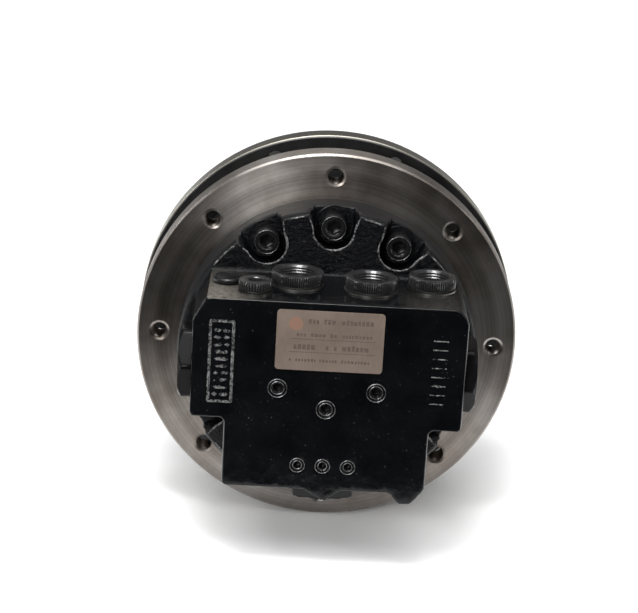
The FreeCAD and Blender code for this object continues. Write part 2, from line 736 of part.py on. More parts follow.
def port_cap(port):
    """A knurled, hollow screw-in cap over a port, resting on its washer."""
    base = V(port["x"], port["y"], BLOCK_TOP + WASHER_T + FIT_GAP)
    height = port["cap_h"] - WASHER_T - FIT_GAP
    body = rod(port["cap_r"] - CAP_WALL, base, Z, height)
    corner = base + V(port["cap_r"] - RIB_IN, -RIB_W / 2, 0)
    rib = Part.makeBox(RIB_IN + RIB_OUT, RIB_W, height - RIB_SHORT, corner)
    ribs_made = []
    for i in range(port["ribs"]):
        copy = rib.copy()
        copy.rotate(base, Z, 360.0 * i / port["ribs"])
        ribs_made.append(copy)
    body = body.multiFuse(ribs_made)
    hollow = rod(port["cap_r"] * CAP_BORE, base + Z * CAP_FLOOR, Z, height)
    stem_start = V(port["x"], port["y"], BLOCK_TOP - MOUTH_DEPTH + STEM_LIFT)
    stem = rod(port["r"] + MOUTH_STEP - STEM_PLAY, stem_start, Z, STEM_H)
    return body.cut(hollow).fuse(stem)


def valve_plate():
    plate = tube(VALVE_PLATE_IN_R, VALVE_PLATE_R, 0, BLOCK_START - FIT_GAP / 2)
    for middle in (0, 180):
        for step in range(-KIDNEY_HALF_DEG, KIDNEY_HALF_DEG + 1, KIDNEY_STEP_DEG):
            spot = at_angle(PISTON_PITCH_R, middle + step)
            plate = plate.cut(disc(KIDNEY_SLOT_R, -OVER, BLOCK_START + OVER, spot.x, spot.z))
    return plate


# --- bearings and seals -------------------------------------------------------------------
def bearing(size, y0):
    """A deep groove ball bearing from y0 on: its inner race, outer race and balls."""
    y1 = y0 + size["width"]
    middle = (y0 + y1) / 2
    groove = Part.makeTorus(size["pitch"], size["ball"] + PIN_GAP, V(0, middle, 0), Y)
    gap = size["ball"] * RACE_GAP
    inner_race = tube(size["in"], size["pitch"] - gap, y0, y1).cut(groove)
    outer_race = tube(size["pitch"] + gap, size["out"], y0, y1).cut(groove)
    balls = []
    for i in range(size["balls"]):
        centre = at_angle(size["pitch"], 360.0 * i / size["balls"], middle)
        balls.append(Part.makeSphere(size["ball"], centre))
    return inner_race, outer_race, balls


def main_bearings():
    first_start = RACE_START + OVER
    second_start = BEARING_BORE_END - MAIN_BEARING["width"]
    first = bearing(MAIN_BEARING, first_start)
    second = bearing(MAIN_BEARING, second_start)
    spacer = tube(RACE_R, RACE_R + SPACER_T, first_start + MAIN_BEARING["width"], second_start)
    inners = group([first[0], second[0], spacer])
    return inners, group([first[1], second[1]]), group(first[2] + second[2])


def shaft_bearings():
    front = bearing(FRONT_BEARING, FRONT_BEARING_Y)
    rear = bearing(REAR_BEARING, REAR_BEARING_Y)
    return group([front[0], rear[0]]), group([front[1], rear[1]]), group(front[2] + rear[2])


def face_seals():
    """Two metal rings that meet face to face, each carried on a rubber ring."""
    fixed = turned([
        (72.9, 20.5), (75, 20.5), (78, SEAL_MEET - 1), (78, SEAL_MEET), (73.5, SEAL_MEET), (72.9, 25),
    ])
    start = SEAL_MEET + FIT_GAP / 2
    rotating = turned([(74, start), (78, start), (78.6, 28), (78.6, 32.5), (76, 32.5), (74, 29)])
    rubbers = []
    for ring in (SEAL_FIXED_RUBBER, SEAL_ROTATING_RUBBER):
        rubbers.append(Part.makeTorus(ring["pitch"], ring["r"], V(0, ring["y"], 0), Y))
    return fixed, rotating, rubbers[0], rubbers[1]


def bearing_nut():
    end = SPINDLE_END - 2
    nut = tube(NUT_THREAD_R, NUT_R, RACE_END, end)
    for i in range(NUT_SLOTS):
        corner = V(NUT_R - NUT_SLOT_DEPTH, end - NUT_SLOT_DEPTH, -NUT_SLOT / 2)
        slot = Part.makeBox(NUT_SLOT, NUT_SLOT, NUT_SLOT, corner)
        slot.rotate(O, Y, 360.0 * i / NUT_SLOTS)
        nut = nut.cut(slot)
    return nut


# --- brake --------------------------------------------------------------------------------
def brake_plates():
    return group([tube(BRAKE_PLATE_IN_R, BRAKE_PLATE_R, y, y + BRAKE_PLATE_T) for y in BRAKE_PLATE_YS])


def friction_discs():
    return group([tube(LAND_R, FRICTION_R, y, y + FRICTION_T) for y in FRICTION_YS])


def brake_springs():
    length = BRAKE_PISTON_START - BRAKE_SPRING_START
    springs = []
    for i in range(BRAKE_SPRINGS):
        spot = at_angle(BRAKE_SPRING_PITCH_R, 360.0 * i / BRAKE_SPRINGS, BRAKE_SPRING_START)
        springs.append(placed(coil_spring(BRAKE_SPRING, length), spot, Y))
    return group(springs)


# --- the rotating group -------------------------------------------------------------------
def cylinder_block():
    body = disc(BLOCK_R, BLOCK_START, BLOCK_END).fuse(disc(LAND_R, LAND_START, LAND_END))
    cutters = [disc(SHAFT_SPLINE_R, BLOCK_START - OVER, BLOCK_END + OVER)]
    for i in range(PISTONS):
        spot = at_angle(PISTON_PITCH_R, 360.0 * i / PISTONS)
        cutters.append(disc(PISTON_R, BORE_FLOOR, BLOCK_END + OVER, spot.x, spot.z))
        cutters.append(disc(KIDNEY_SLOT_R, BLOCK_START - OVER, BORE_FLOOR + OVER, spot.x, spot.z))
    return subtract(body, cutters)


def pistons():
    made = []
    ball_y = SWASH_Y - BALL_SEAT
    for i in range(PISTONS):
        spot = at_angle(PISTON_PITCH_R, 360.0 * i / PISTONS)
        body = disc(PISTON_R, PISTON_START, PISTON_END, spot.x, spot.z)
        neck = disc(PISTON_NECK_R, PISTON_END - OVER, ball_y, spot.x, spot.z)
        ball = Part.makeSphere(PISTON_BALL_R, V(spot.x, ball_y, spot.z))
        made.append(body.fuse(neck).fuse(ball))
    return group(made)


def drive_shaft():
    points = [(0, SHAFT_START)]
    start = SHAFT_START
    for radius, end in SHAFT_STEPS:
        points += [(radius, start), (radius, end)]
        start = end
    return turned(points + [(0, start)])


def tilted(shape):
    """Turned about the swash pivot to the rest angle, its top towards +Y."""
    shape.rotate(V(0, SWASH_Y, 0), X, -SWASH_DEG)
    return shape


def slippers():
    made = []
    for i in range(PISTONS):
        spot = at_angle(PISTON_PITCH_R, 360.0 * i / PISTONS)
        cup = disc(CUP_R + CUP_WALL, SWASH_Y - CUP_START, SWASH_Y + SOLE_START, spot.x, spot.z)
        sole = disc(SOLE_R, SWASH_Y + SOLE_START, SWASH_Y + SWASH_FACE - PIN_GAP, spot.x, spot.z)
        hollow = disc(CUP_R, SWASH_Y - CUP_START - OVER, SWASH_Y + CUP_FLOOR, spot.x, spot.z)
        made.append(tilted(cup.fuse(sole).cut(hollow)))
    return group(made)


def retainer_plate():
    plate = disc(SWASH_R, SWASH_Y + RETAINER_START, SWASH_Y + RETAINER_END)
    plate = plate.cut(Part.makeSphere(GUIDE_R + PIN_GAP, V(0, SWASH_Y, 0)))
    for i in range(PISTONS):
        spot = at_angle(PISTON_PITCH_R, 360.0 * i / PISTONS)
        hole_r = CUP_R + CUP_WALL + RETAINER_PLAY
        plate = plate.cut(disc(hole_r, SWASH_Y, SWASH_Y + SWASH_FACE, spot.x, spot.z))
    return tilted(plate)


def ball_guide():
    """The spherical guide that holds the retainer plate in the middle of the shaft."""
    ball = Part.makeSphere(GUIDE_R, V(0, SWASH_Y, 0))
    ball = ball.common(disc(GUIDE_R + OVER, BLOCK_END + 0.5, SWASH_Y + GUIDE_END))
    return ball.cut(disc(SHAFT_SPLINE_R, BLOCK_END, SWASH_Y + GUIDE_R))


def swash_plate():
    plate = disc(SWASH_R, SWASH_Y + SWASH_FACE, SWASH_Y + SWASH_BACK)
    for side in (-1, 1):
        start = V(side * CRADLE_IN, SWASH_Y, 0)
        rail = rod(CRADLE_R, start, X * side, CRADLE_OUT - CRADLE_IN)
        behind = disc(2 * SWASH_R, SWASH_Y + SWASH_BACK - OVER, SWASH_Y + 2 * CRADLE_R)
        plate = plate.fuse(rail.common(behind))
    return tilted(plate.cut(disc(SWASH_BORE_R, SWASH_Y, SWASH_Y + 2 * CRADLE_R)))


def speed_piston():
    angle = math.radians(SWASH_DEG)
    back = SWASH_Y + SWASH_BACK / math.cos(angle) + SPEED_PISTON_Z * math.tan(angle)
    tip = back + SPEED_PISTON_GAP
    body = disc(SPEED_PISTON_R, tip + SPEED_NOSE_H, SPEED_BORE_END - 2, 0, SPEED_PISTON_Z)
    nose = Part.makeCone(SPEED_NOSE_R, SPEED_PISTON_R, SPEED_NOSE_H, V(0, tip, SPEED_PISTON_Z), Y)
    return body.fuse(nose)


# --- the reduction gear -------------------------------------------------------------------


def carrier_1():
    """The first stage's carrier: a plate with three pin holes and three windows between them."""
    low = CARRIER_START - OVER
    high = CARRIER_END + OVER
    cutters = [disc(SUN_2_HUB_R, low, high)]
    for degrees in planet_angles(STAGE_1):
        spot = at_angle(pin_radius(STAGE_1), degrees)
        cutters.append(disc(PIN_1_R, low, high, spot.x, spot.z))
        window = at_angle(CARRIER_WINDOW_PITCH_R, degrees + 180.0 / PLANETS)
        cutters.append(disc(CARRIER_WINDOW_R, low, high, window.x, window.z))
    return subtract(disc(CARRIER_R, CARRIER_START, CARRIER_END), cutters)


def planet_pins(stage, radius, start, end):
    pins = []
    for degrees in planet_angles(stage):
        spot = at_angle(pin_radius(stage), degrees)
        pins.append(disc(radius, start, end, spot.x, spot.z))
    return group(pins)


def gear_housing():
    c = FLANGE_CHAMFER
    flange_back = SPROCKET_Y + SPROCKET_T
    body = turned([
        (BEARING_BORE_R, HUB_START), (HUB_R - c, HUB_START), (HUB_R, HUB_START + c),
        (HUB_R, SPROCKET_Y), (SPROCKET_R - c, SPROCKET_Y), (SPROCKET_R, SPROCKET_Y + c),
        (SPROCKET_R, flange_back - c), (SPROCKET_R - c, flange_back), (PILOT_R, flange_back),
        (PILOT_R, PILOT_END), (HUB_R, PILOT_END + PILOT_CHAMFER), (HUB_R, DRUM_END), (RING_BLANK_R, DRUM_END),
        (RING_BLANK_R, TEETH_START), (RELIEF_R, TEETH_START), (RELIEF_R, BEARING_BORE_END),
        (BEARING_BORE_R, BEARING_BORE_END),
    ])
    cutters = [ring_cutter(TEETH_START - OVER, DRUM_END + OVER)]
    for i in range(SPROCKET_BOLTS):
        spot = at_angle(SPROCKET_BOLT_R, 90 + 360.0 * (i + 0.5) / SPROCKET_BOLTS)
        cutters.append(disc(M12_TAP_R, SPROCKET_Y - OVER, flange_back + OVER, spot.x, spot.z))
    for i in range(COVER_SCREWS):
        spot = at_angle(COVER_SCREW_R, 360.0 * i / COVER_SCREWS)
        cutters.append(disc(M8_R + PIN_GAP, COVER_SCREW_HOLE, DRUM_END + OVER, spot.x, spot.z))
    return subtract(body, cutters)


def end_cover():
    body = turned([
        (0, DRUM_END), (HUB_R, DRUM_END), (HUB_R, COVER_FACE - COVER_CHAMFER),
        (HUB_R - COVER_CHAMFER, COVER_FACE), (COVER_BOSS_R + COVER_BOSS_SLOPE, COVER_FACE),
        (COVER_BOSS_R, COVER_FACE + COVER_BOSS_H), (0, COVER_FACE + COVER_BOSS_H),
    ])
    cutters = []
    for i in range(COVER_SCREWS):
        spot = at_angle(COVER_SCREW_R, 360.0 * i / COVER_SCREWS)
        cutters.append(disc(M8_R + SCREW_PLAY, DRUM_END - OVER, COVER_FACE + OVER, spot.x, spot.z))
    for degrees in OIL_PLUG_DEGS:
        spot = at_angle(OIL_PLUG_PITCH_R, degrees)
        cutters.append(disc(OIL_PLUG_R, DRUM_END - OVER, COVER_FACE + OVER, spot.x, spot.z))
    return subtract(body, cutters)


def end_cover_screws():
    screws = []
    for i in range(COVER_SCREWS):
        seat = at_angle(COVER_SCREW_R, 360.0 * i / COVER_SCREWS, COVER_FACE)
        screws.append(socket_screw(seat, -Y, M8_R, M8_LENGTH, M8_HEAD_R, M8_HEAD_H, M8_SOCKET))
    return group(screws)


def oil_plugs():
    plugs = []
    for degrees in OIL_PLUG_DEGS:
        spot = at_angle(OIL_PLUG_PITCH_R, degrees, COVER_FACE)
        body = rod(OIL_PLUG_R, spot, -Y, OIL_PLUG_DEPTH)
        body = body.fuse(rod(OIL_PLUG_R + OIL_PLUG_COLLAR, spot, Y, OIL_PLUG_COLLAR))
        socket = hexagon(OIL_PLUG_SOCKET, spot + Y * OIL_PLUG_COLLAR, -Y, OIL_PLUG_SOCKET)
        plugs.append(body.cut(socket))
    return group(plugs)


# --- write every sub-part -----------------------------------------------------------------
def main():
    os.makedirs("parts", exist_ok=True)
    save("spindle", spindle())
    save("port_block", port_block())
    save("cover_screws", cover_screws())
    save("gallery_plugs_large", gallery_plugs(LARGE_PLUGS))
    save("gallery_plugs_small", gallery_plugs(SMALL_PLUGS))
    save("nameplate", nameplate())
    save("counterbalance_cap_left", valve_cap(FACE_LEFT))
    save("counterbalance_cap_right", valve_cap(FACE_RIGHT))
    save("counterbalance_spool", counterbalance_spool())
    save("counterbalance_spring_left", counterbalance_spring(-1))
    save("counterbalance_spring_right", counterbalance_spring(1))
    save("speed_valve_plug", speed_valve_plug())
    save("speed_spool", speed_spool())
    save("speed_spring", speed_spring())
    save("port_washers", port_washers())
    save("cap_port_a", port_cap(PORT_A))
    save("cap_port_b", port_cap(PORT_B))
    save("cap_drain", port_cap(PORT_DRAIN))
    save("cap_pilot", port_cap(PORT_PILOT))
    save("valve_plate", valve_plate())
    inners, outers, balls = main_bearings()
    save("main_bearing_inners", inners)
    save("main_bearing_outers", outers)
    save("main_bearing_balls", balls)
    inners, outers, balls = shaft_bearings()
    save("shaft_bearing_inners", inners)
    save("shaft_bearing_outers", outers)
    save("shaft_bearing_balls", balls)
    fixed, rotating, fixed_rubber, rotating_rubber = face_seals()
    save("face_seal_fixed", fixed)
    save("face_seal_rotating", rotating)
    save("face_seal_rubber_fixed", fixed_rubber)
    save("face_seal_rubber_rotating", rotating_rubber)
    save("shaft_seal", tube(SHAFT_SEAL_IN_R, SHAFT_SEAL_R, CASE_END, SHAFT_SEAL_END))
    save("bearing_nut", bearing_nut())
    save("brake_plates", brake_plates())
    save("brake_piston", tube(BRAKE_PLATE_IN_R, BRAKE_PLATE_R, BRAKE_PISTON_START, BRAKE_PISTON_END))
    save("brake_springs", brake_springs())
    save("friction_discs", friction_discs())
    save("cylinder_block", cylinder_block())
    save("pistons", pistons())
    save("drive_shaft", drive_shaft())
    save("slippers", slippers())
    save("retainer_plate", retainer_plate())
    save("ball_guide", ball_guide())
    save("swash_plate", swash_plate())
    save("speed_piston", speed_piston())
    save("sun_1", sun_gear(STAGE_1, SUN_1_BORE, SUN_1_BORE, STAGE_1["end"]))
    save("sun_2", sun_gear(STAGE_2, SUN_2_BORE, SUN_2_HUB_R, CARRIER_END))
    save("carrier_1", carrier_1())
    save("planet_1_pins", planet_pins(STAGE_1, PIN_1_R, CARRIER_START, PIN_1_END))
    save("planet_2_pins", planet_pins(STAGE_2, PIN_2_R, PIN_2_START, PIN_2_END))
    for stage, name, pin in ((STAGE_1, "planet_1_", PIN_1_R), (STAGE_2, "planet_2_", PIN_2_R)):
        for letter, degrees in zip("abc", planet_angles(stage)):
            save(name + letter, planet_gear(stage, degrees, pin + PIN_GAP))
    save("gear_housing", gear_housing())
    save("end_cover", end_cover())
    save("end_cover_screws", end_cover_screws())
    save("oil_plugs", oil_plugs())


main()
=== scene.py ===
"""Looks of the hydraulic travel motor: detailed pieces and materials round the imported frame. Metres."""

import json
import math
import random

import bmesh
import bpy
from mathutils import Matrix, Vector


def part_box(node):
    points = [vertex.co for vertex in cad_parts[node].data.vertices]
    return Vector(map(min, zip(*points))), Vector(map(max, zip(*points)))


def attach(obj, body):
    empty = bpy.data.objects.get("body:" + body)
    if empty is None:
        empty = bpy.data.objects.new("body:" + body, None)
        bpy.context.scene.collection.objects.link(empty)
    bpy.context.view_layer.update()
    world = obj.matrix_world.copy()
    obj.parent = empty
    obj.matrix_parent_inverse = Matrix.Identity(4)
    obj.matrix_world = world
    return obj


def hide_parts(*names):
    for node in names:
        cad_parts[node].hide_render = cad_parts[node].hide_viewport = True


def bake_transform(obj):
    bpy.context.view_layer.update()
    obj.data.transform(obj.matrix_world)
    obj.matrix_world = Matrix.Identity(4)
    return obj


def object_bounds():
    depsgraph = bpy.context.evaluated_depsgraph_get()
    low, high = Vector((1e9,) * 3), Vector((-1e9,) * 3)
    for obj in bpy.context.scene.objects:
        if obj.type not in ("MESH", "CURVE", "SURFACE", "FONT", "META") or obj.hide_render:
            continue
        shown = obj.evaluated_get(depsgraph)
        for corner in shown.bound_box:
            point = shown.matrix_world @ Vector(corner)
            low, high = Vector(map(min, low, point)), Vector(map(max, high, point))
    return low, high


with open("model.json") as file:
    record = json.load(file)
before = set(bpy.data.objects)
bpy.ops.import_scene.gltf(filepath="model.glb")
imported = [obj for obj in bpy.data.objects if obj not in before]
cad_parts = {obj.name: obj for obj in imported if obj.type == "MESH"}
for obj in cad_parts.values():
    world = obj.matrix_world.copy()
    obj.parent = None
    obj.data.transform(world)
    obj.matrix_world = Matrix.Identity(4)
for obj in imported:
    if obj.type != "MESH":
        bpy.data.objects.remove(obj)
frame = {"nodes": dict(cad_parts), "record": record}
cad_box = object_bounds()

MM = 0.001
FRONT = Vector((0, -1, 0))
BACK = Vector((0, 1, 0))

# Sizes that this script shares with the CAD.
REGISTER_R = 92 * MM
COVER_FRONT = -33 * MM
FRAME_BOLT_R = 105 * MM
SPROCKET_BOLT_R = 110 * MM
M12_DRILL_R = 5.1 * MM
M12_PITCH = 1.75 * MM
M12_CREST = 0.55 * MM
FRAME_THREAD = (0.7 * MM, 17.2 * MM)
SPROCKET_THREAD = (45.3 * MM, 61.2 * MM)
COVER_SCREW = {"head_r": 8 * MM, "head_h": 10 * MM, "shank_r": 5 * MM, "socket_af": 8 * MM}
DRUM_SCREW = {"head_r": 6.5 * MM, "head_h": 8 * MM, "shank_r": 4 * MM, "socket_af": 6 * MM}
HEXAGON_AF = 41 * MM
HEXAGON_TURN_DEG = 7.5
HEXAGON_FACE_LEFT = 80.2 * MM
HEXAGON_FACE_RIGHT = 80.9 * MM
BLOCK_TOP = 49.5 * MM
MACHINED_RIM_R = 90.8 * MM
SPROCKET_FRONT = 45.4 * MM
PILOT_R = 100.4 * MM

nodes = frame["nodes"]
slot_of = {s["node"]: s["material_slot"] for s in frame["record"]["subparts"]}
body_of = {n: b for b, names in frame["record"]["behaviour"]["bodies"].items() for n in names}


# --- node graphs --------------------------------------------------------------------------
class Graph:
    """A short way to write a material's nodes."""

    def __init__(self, name):
        self.material = bpy.data.materials.new(name)
        self.material.use_nodes = True
        self.tree = self.material.node_tree
        self.shader = self.tree.nodes["Principled BSDF"]

    def add(self, kind, **inputs):
        node = self.tree.nodes.new(kind)
        for name, value in inputs.items():
            self.put(node, name.replace("_", " "), value)
        return node

    def put(self, node, name, value):
        socket = node.inputs[name]
        if isinstance(value, bpy.types.NodeSocket):
            self.tree.links.new(value, socket)
        else:
            socket.default_value = value

    def surface(self, **inputs):
        for name, value in inputs.items():
            self.put(self.shader, name.replace("_", " "), value)

    def math(self, operation, a, b=0.0, clamp=False):
        node = self.tree.nodes.new("ShaderNodeMath")
        node.operation = operation
        node.use_clamp = clamp
        for socket, value in zip(node.inputs, (a, b)):
            if isinstance(value, bpy.types.NodeSocket):
                self.tree.links.new(value, socket)
            else:
                socket.default_value = value
        return node.outputs[0]

    def position(self):
        """The point on the object, in the row frame at rest."""
        return self.add("ShaderNodeTexCoord").outputs["Object"]

    def split(self, vector):
        node = self.add("ShaderNodeSeparateXYZ", Vector=vector)
        return node.outputs["X"], node.outputs["Y"], node.outputs["Z"]

    def join(self, x=0.0, y=0.0, z=0.0):
        return self.add("ShaderNodeCombineXYZ", X=x, Y=y, Z=z).outputs[0]

    def noise(self, vector, scale, detail=4.0, roughness=0.55):
        return self.add("ShaderNodeTexNoise", Vector=vector, Scale=scale, Detail=detail,
                        Roughness=roughness).outputs["Fac"]

    def ramp(self, value, *stops):
        """Colour or grey by value; each stop is (position, grey or colour)."""
        node = self.add("ShaderNodeValToRGB", Fac=value)
        elements = node.color_ramp.elements
        while len(elements) < len(stops):
            elements.new(0.5)
        for element, (place, colour) in zip(elements, stops):
            element.position = place
            element.color = (*colour, 1.0) if isinstance(colour, tuple) else (colour,) * 3 + (1.0,)
        return node.outputs["Color"]

    def mix(self, factor, first, second):
        node = self.tree.nodes.new("ShaderNodeMix")
        node.data_type = "RGBA"
        for socket, value in ((node.inputs[0], factor), (node.inputs[6], first), (node.inputs[7], second)):
            if isinstance(value, bpy.types.NodeSocket):
                self.tree.links.new(value, socket)
            else:
                socket.default_value = (*value, 1.0) if isinstance(value, tuple) else value
        return node.outputs[2]

    def bump(self, height, distance, strength):
        node = self.add("ShaderNodeBump", Height=height, Distance=distance, Strength=strength)
        return node.outputs["Normal"]

    def radius_y(self):
        """Distance from the turning axis, which is Y."""
        x, y, z = self.split(self.position())
        squares = self.math("ADD", self.math("MULTIPLY", x, x), self.math("MULTIPLY", z, z))
        return self.math("SQRT", squares), y


def turned_steel():
    """Bare steel faced on a lathe: fine rings round Y, brown oil film in clouds, dull specks of rust."""
    g = Graph("turned_steel")
    radius, y = g.radius_y()
    rings = g.noise(g.join(radius, g.math("MULTIPLY", y, 0.6)), 1100.0, 3.0, 0.7)
    bands = g.noise(g.join(radius, 0.0, 0.3), 140.0, 3.0, 0.6)
    stain = g.noise(g.position(), 16.0, 5.0, 0.62)
    specks = g.noise(g.position(), 420.0, 4.0, 0.7)
    tone = g.math("ADD", g.math("MULTIPLY", rings, 0.5), g.math("MULTIPLY", bands, 0.5))
    bare = g.ramp(tone, (0.32, (0.15, 0.142, 0.136)), (0.68, (0.45, 0.43, 0.41)))
    film = g.ramp(stain, (0.38, (0.60, 0.55, 0.51)), (0.62, (1.0, 0.98, 0.96)))
    colour = g.tree.nodes.new("ShaderNodeVectorMath")
    colour.operation = "MULTIPLY"
    g.tree.links.new(bare, colour.inputs[0])
    g.tree.links.new(film, colour.inputs[1])
    rust = g.ramp(specks, (0.68, 0.0), (0.76, 0.55))
    rough = g.ramp(g.math("ADD", g.math("MULTIPLY", stain, 0.6), g.math("MULTIPLY", rings, 0.4)),
                   (0.3, 0.30), (0.75, 0.44))
    tangent = g.tree.nodes.new("ShaderNodeTangent")
    tangent.direction_type = "RADIAL"
    tangent.axis = "Y"
    g.surface(Base_Color=g.mix(rust, colour.outputs[0], (0.10, 0.075, 0.06)), Metallic=1.0,
              Roughness=rough, Anisotropic=0.8, Anisotropic_Rotation=0.25, Tangent=tangent.outputs[0],
              Normal=g.bump(rings, 0.00004, 0.5))
    return g.material


def ground_steel(name, low, high, roughness):
    g = Graph(name)
    cloud = g.noise(g.position(), 60.0, 4.0)
    fine = g.noise(g.position(), 900.0, 2.0)
    g.surface(Base_Color=g.ramp(cloud, (0.3, low), (0.7, high)), Metallic=1.0,
              Roughness=g.ramp(cloud, (0.3, roughness), (0.7, roughness + 0.12)),
              Normal=g.bump(fine, 0.00002, 0.4))
    return g.material


def casting_enamel():
    """Glossy black enamel over a sand casting, with settled dust on top and a machined rim."""
    g = Graph("casting_enamel")
    x, y, z = g.split(g.position())
    radius, _ = g.radius_y()
    peel = g.noise(g.position(), 260.0, 3.0, 0.5)
    sand = g.noise(g.position(), 330.0, 5.0, 0.68)
    cloud = g.noise(g.position(), 35.0, 4.0, 0.6)
    # Rough casting skin behind the block, smoother filled paint on the block.
    rear = g.math("MULTIPLY", g.math("ADD", y, 0.0415), 220.0, clamp=True)
    # Machined register: outside this radius.
    rim = g.math("MULTIPLY", g.math("SUBTRACT", radius, MACHINED_RIM_R), 1600.0, clamp=True)
    # Dust lies on the top face, thickest at its two ends.
    up = g.split(g.add("ShaderNodeNewGeometry").outputs["Normal"])[2]
    facing_up = g.math("MULTIPLY", g.math("SUBTRACT", up, 0.75), 6.0, clamp=True)
    high = g.math("MULTIPLY", g.math("SUBTRACT", z, BLOCK_TOP), 900.0, clamp=True)
    ends = g.math("MULTIPLY", g.math("SUBTRACT", g.math("ABSOLUTE", x), 0.038), 38.0, clamp=True)
    patch = g.math("ADD", g.math("MULTIPLY", ends, 0.75), g.math("MULTIPLY", cloud, 0.35))
    front = g.math("MULTIPLY", g.math("SUBTRACT", -0.050, y), 40.0, clamp=True)
    patch = g.math("MULTIPLY", patch, g.math("ADD", g.math("MULTIPLY", front, 0.6), 0.4))
    patch = g.math("SUBTRACT", g.math("MULTIPLY", patch, 1.5), g.math("MULTIPLY", sand, 0.5), clamp=True)
    left = g.math("ADD", g.math("MULTIPLY", x, -6.5), 0.6, clamp=True)
    patch = g.math("MULTIPLY", patch, left)
    dust = g.math("MULTIPLY", g.math("MULTIPLY", facing_up, high), patch)
    # Loose specks of dust everywhere, and a faint smear of polish on the front.
    grains = g.noise(g.position(), 900.0, 2.0, 0.5)
    specks = g.ramp(g.math("ADD", grains, g.math("MULTIPLY", cloud, 0.12)), (0.785, 0.0), (0.81, 0.6))
    paint = g.ramp(cloud, (0.3, (0.0010, 0.0011, 0.0015)), (0.75, (0.0028, 0.0031, 0.0038)))
    dusty = g.ramp(sand, (0.3, (0.028, 0.026, 0.022)), (0.7, (0.125, 0.115, 0.098)))
    colour = g.mix(dust, paint, dusty)
    colour = g.mix(specks, colour, (0.10, 0.098, 0.092))
    colour = g.mix(g.math("MULTIPLY", rim, 0.85), colour, (0.011, 0.011, 0.0115))
    gloss = g.math("SUBTRACT", g.ramp(cloud, (0.3, 0.12), (0.8, 0.24)), g.math("MULTIPLY", rear, 0.03))
    rough = g.mix(dust, gloss, (0.9, 0.9, 0.9))
    rough = g.mix(g.math("MULTIPLY", rim, 0.8), rough, (0.46, 0.46, 0.46))
    skin = g.math("MULTIPLY", g.math("MULTIPLY", sand, rear), 2.1)
    height = g.math("ADD", g.math("MULTIPLY", peel, 0.22), skin)
    height = g.math("ADD", height, g.math("MULTIPLY", g.math("MULTIPLY", sand, dust), 0.8))
    height = g.math("MULTIPLY", height, g.math("SUBTRACT", 1.0, g.math("MULTIPLY", rim, 0.9)))
    shine = g.math("ADD", 0.22, g.math("MULTIPLY", rear, -0.06))
    g.surface(Base_Color=colour, Roughness=rough, Specular_IOR_Level=shine,
              Normal=g.bump(height, 0.0006, 0.8))
    return g.material


def enamel(name, low, high, roughness, shine):
    """Black paint on machined parts."""
    g = Graph(name)
    cloud = g.noise(g.position(), 70.0, 4.0)
    peel = g.noise(g.position(), 500.0, 2.0)
    g.surface(Base_Color=g.ramp(cloud, (0.3, low), (0.7, high)),
              Roughness=g.ramp(cloud, (0.3, roughness), (0.75, roughness + 0.1)),
              Specular_IOR_Level=shine, Normal=g.bump(peel, 0.00012, 0.5))
    return g.material


def moulded_plastic():
    g = Graph("moulded_plastic")
    cloud = g.noise(g.position(), 120.0, 3.0)
    fine = g.noise(g.position(), 1500.0, 2.0)
    g.surface(Base_Color=g.ramp(cloud, (0.3, 0.011), (0.75, 0.021)),
              Roughness=g.ramp(cloud, (0.3, 0.16), (0.75, 0.28)), Specular_IOR_Level=0.6,
              Normal=g.bump(fine, 0.00005, 0.5))
    return g.material


def plate_foil():
    """Satin anodised foil with a brown cast and a vertical grain."""
    g = Graph("plate_foil")
    x, _, z = g.split(g.position())
    grain = g.noise(g.join(g.math("MULTIPLY", x, 14.0), 0.0, z), 160.0, 3.0)
    cloud = g.noise(g.position(), 45.0, 3.0)
    tone = g.math("ADD", g.math("MULTIPLY", grain, 0.5), g.math("MULTIPLY", cloud, 0.5))
    g.surface(Base_Color=g.ramp(tone, (0.3, (0.088, 0.065, 0.050)), (0.7, (0.145, 0.110, 0.088))),
              Metallic=0.3, Roughness=g.ramp(tone, (0.3, 0.42), (0.7, 0.55)),
              Normal=g.bump(grain, 0.00002, 0.4))
    return g.material


def print_ink(name, low, high):
    g = Graph(name)
    wear = g.noise(g.position(), 900.0, 4.0, 0.7)
    g.surface(Base_Color=g.ramp(wear, (0.35, low), (0.65, high)),
              Roughness=g.ramp(wear, (0.3, 0.45), (0.7, 0.65)))
    return g.material


def soft_rubber():
    g = Graph("soft_rubber")
    cloud = g.noise(g.position(), 200.0, 3.0)
    g.surface(Base_Color=g.ramp(cloud, (0.3, 0.012), (0.7, 0.028)),
              Roughness=g.ramp(cloud, (0.3, 0.5), (0.7, 0.7)), Normal=g.bump(cloud, 0.00008, 0.4))
    return g.material


def lapped_bronze():
    g = Graph("lapped_bronze")
    cloud = g.noise(g.position(), 80.0, 4.0)
    g.surface(Base_Color=g.ramp(cloud, (0.3, (0.48, 0.32, 0.15)), (0.7, (0.66, 0.47, 0.25))),
              Metallic=1.0, Roughness=g.ramp(cloud, (0.3, 0.25), (0.7, 0.4)),
              Normal=g.bump(cloud, 0.00003, 0.3))
    return g.material


def sintered_lining():
    g = Graph("sintered_lining")
    grit = g.noise(g.position(), 1200.0, 4.0, 0.7)
    g.surface(Base_Color=g.ramp(grit, (0.3, (0.12, 0.09, 0.06)), (0.7, (0.26, 0.20, 0.14))),
              Roughness=g.ramp(grit, (0.3, 0.7), (0.7, 0.9)), Normal=g.bump(grit, 0.0001, 0.6))
    return g.material


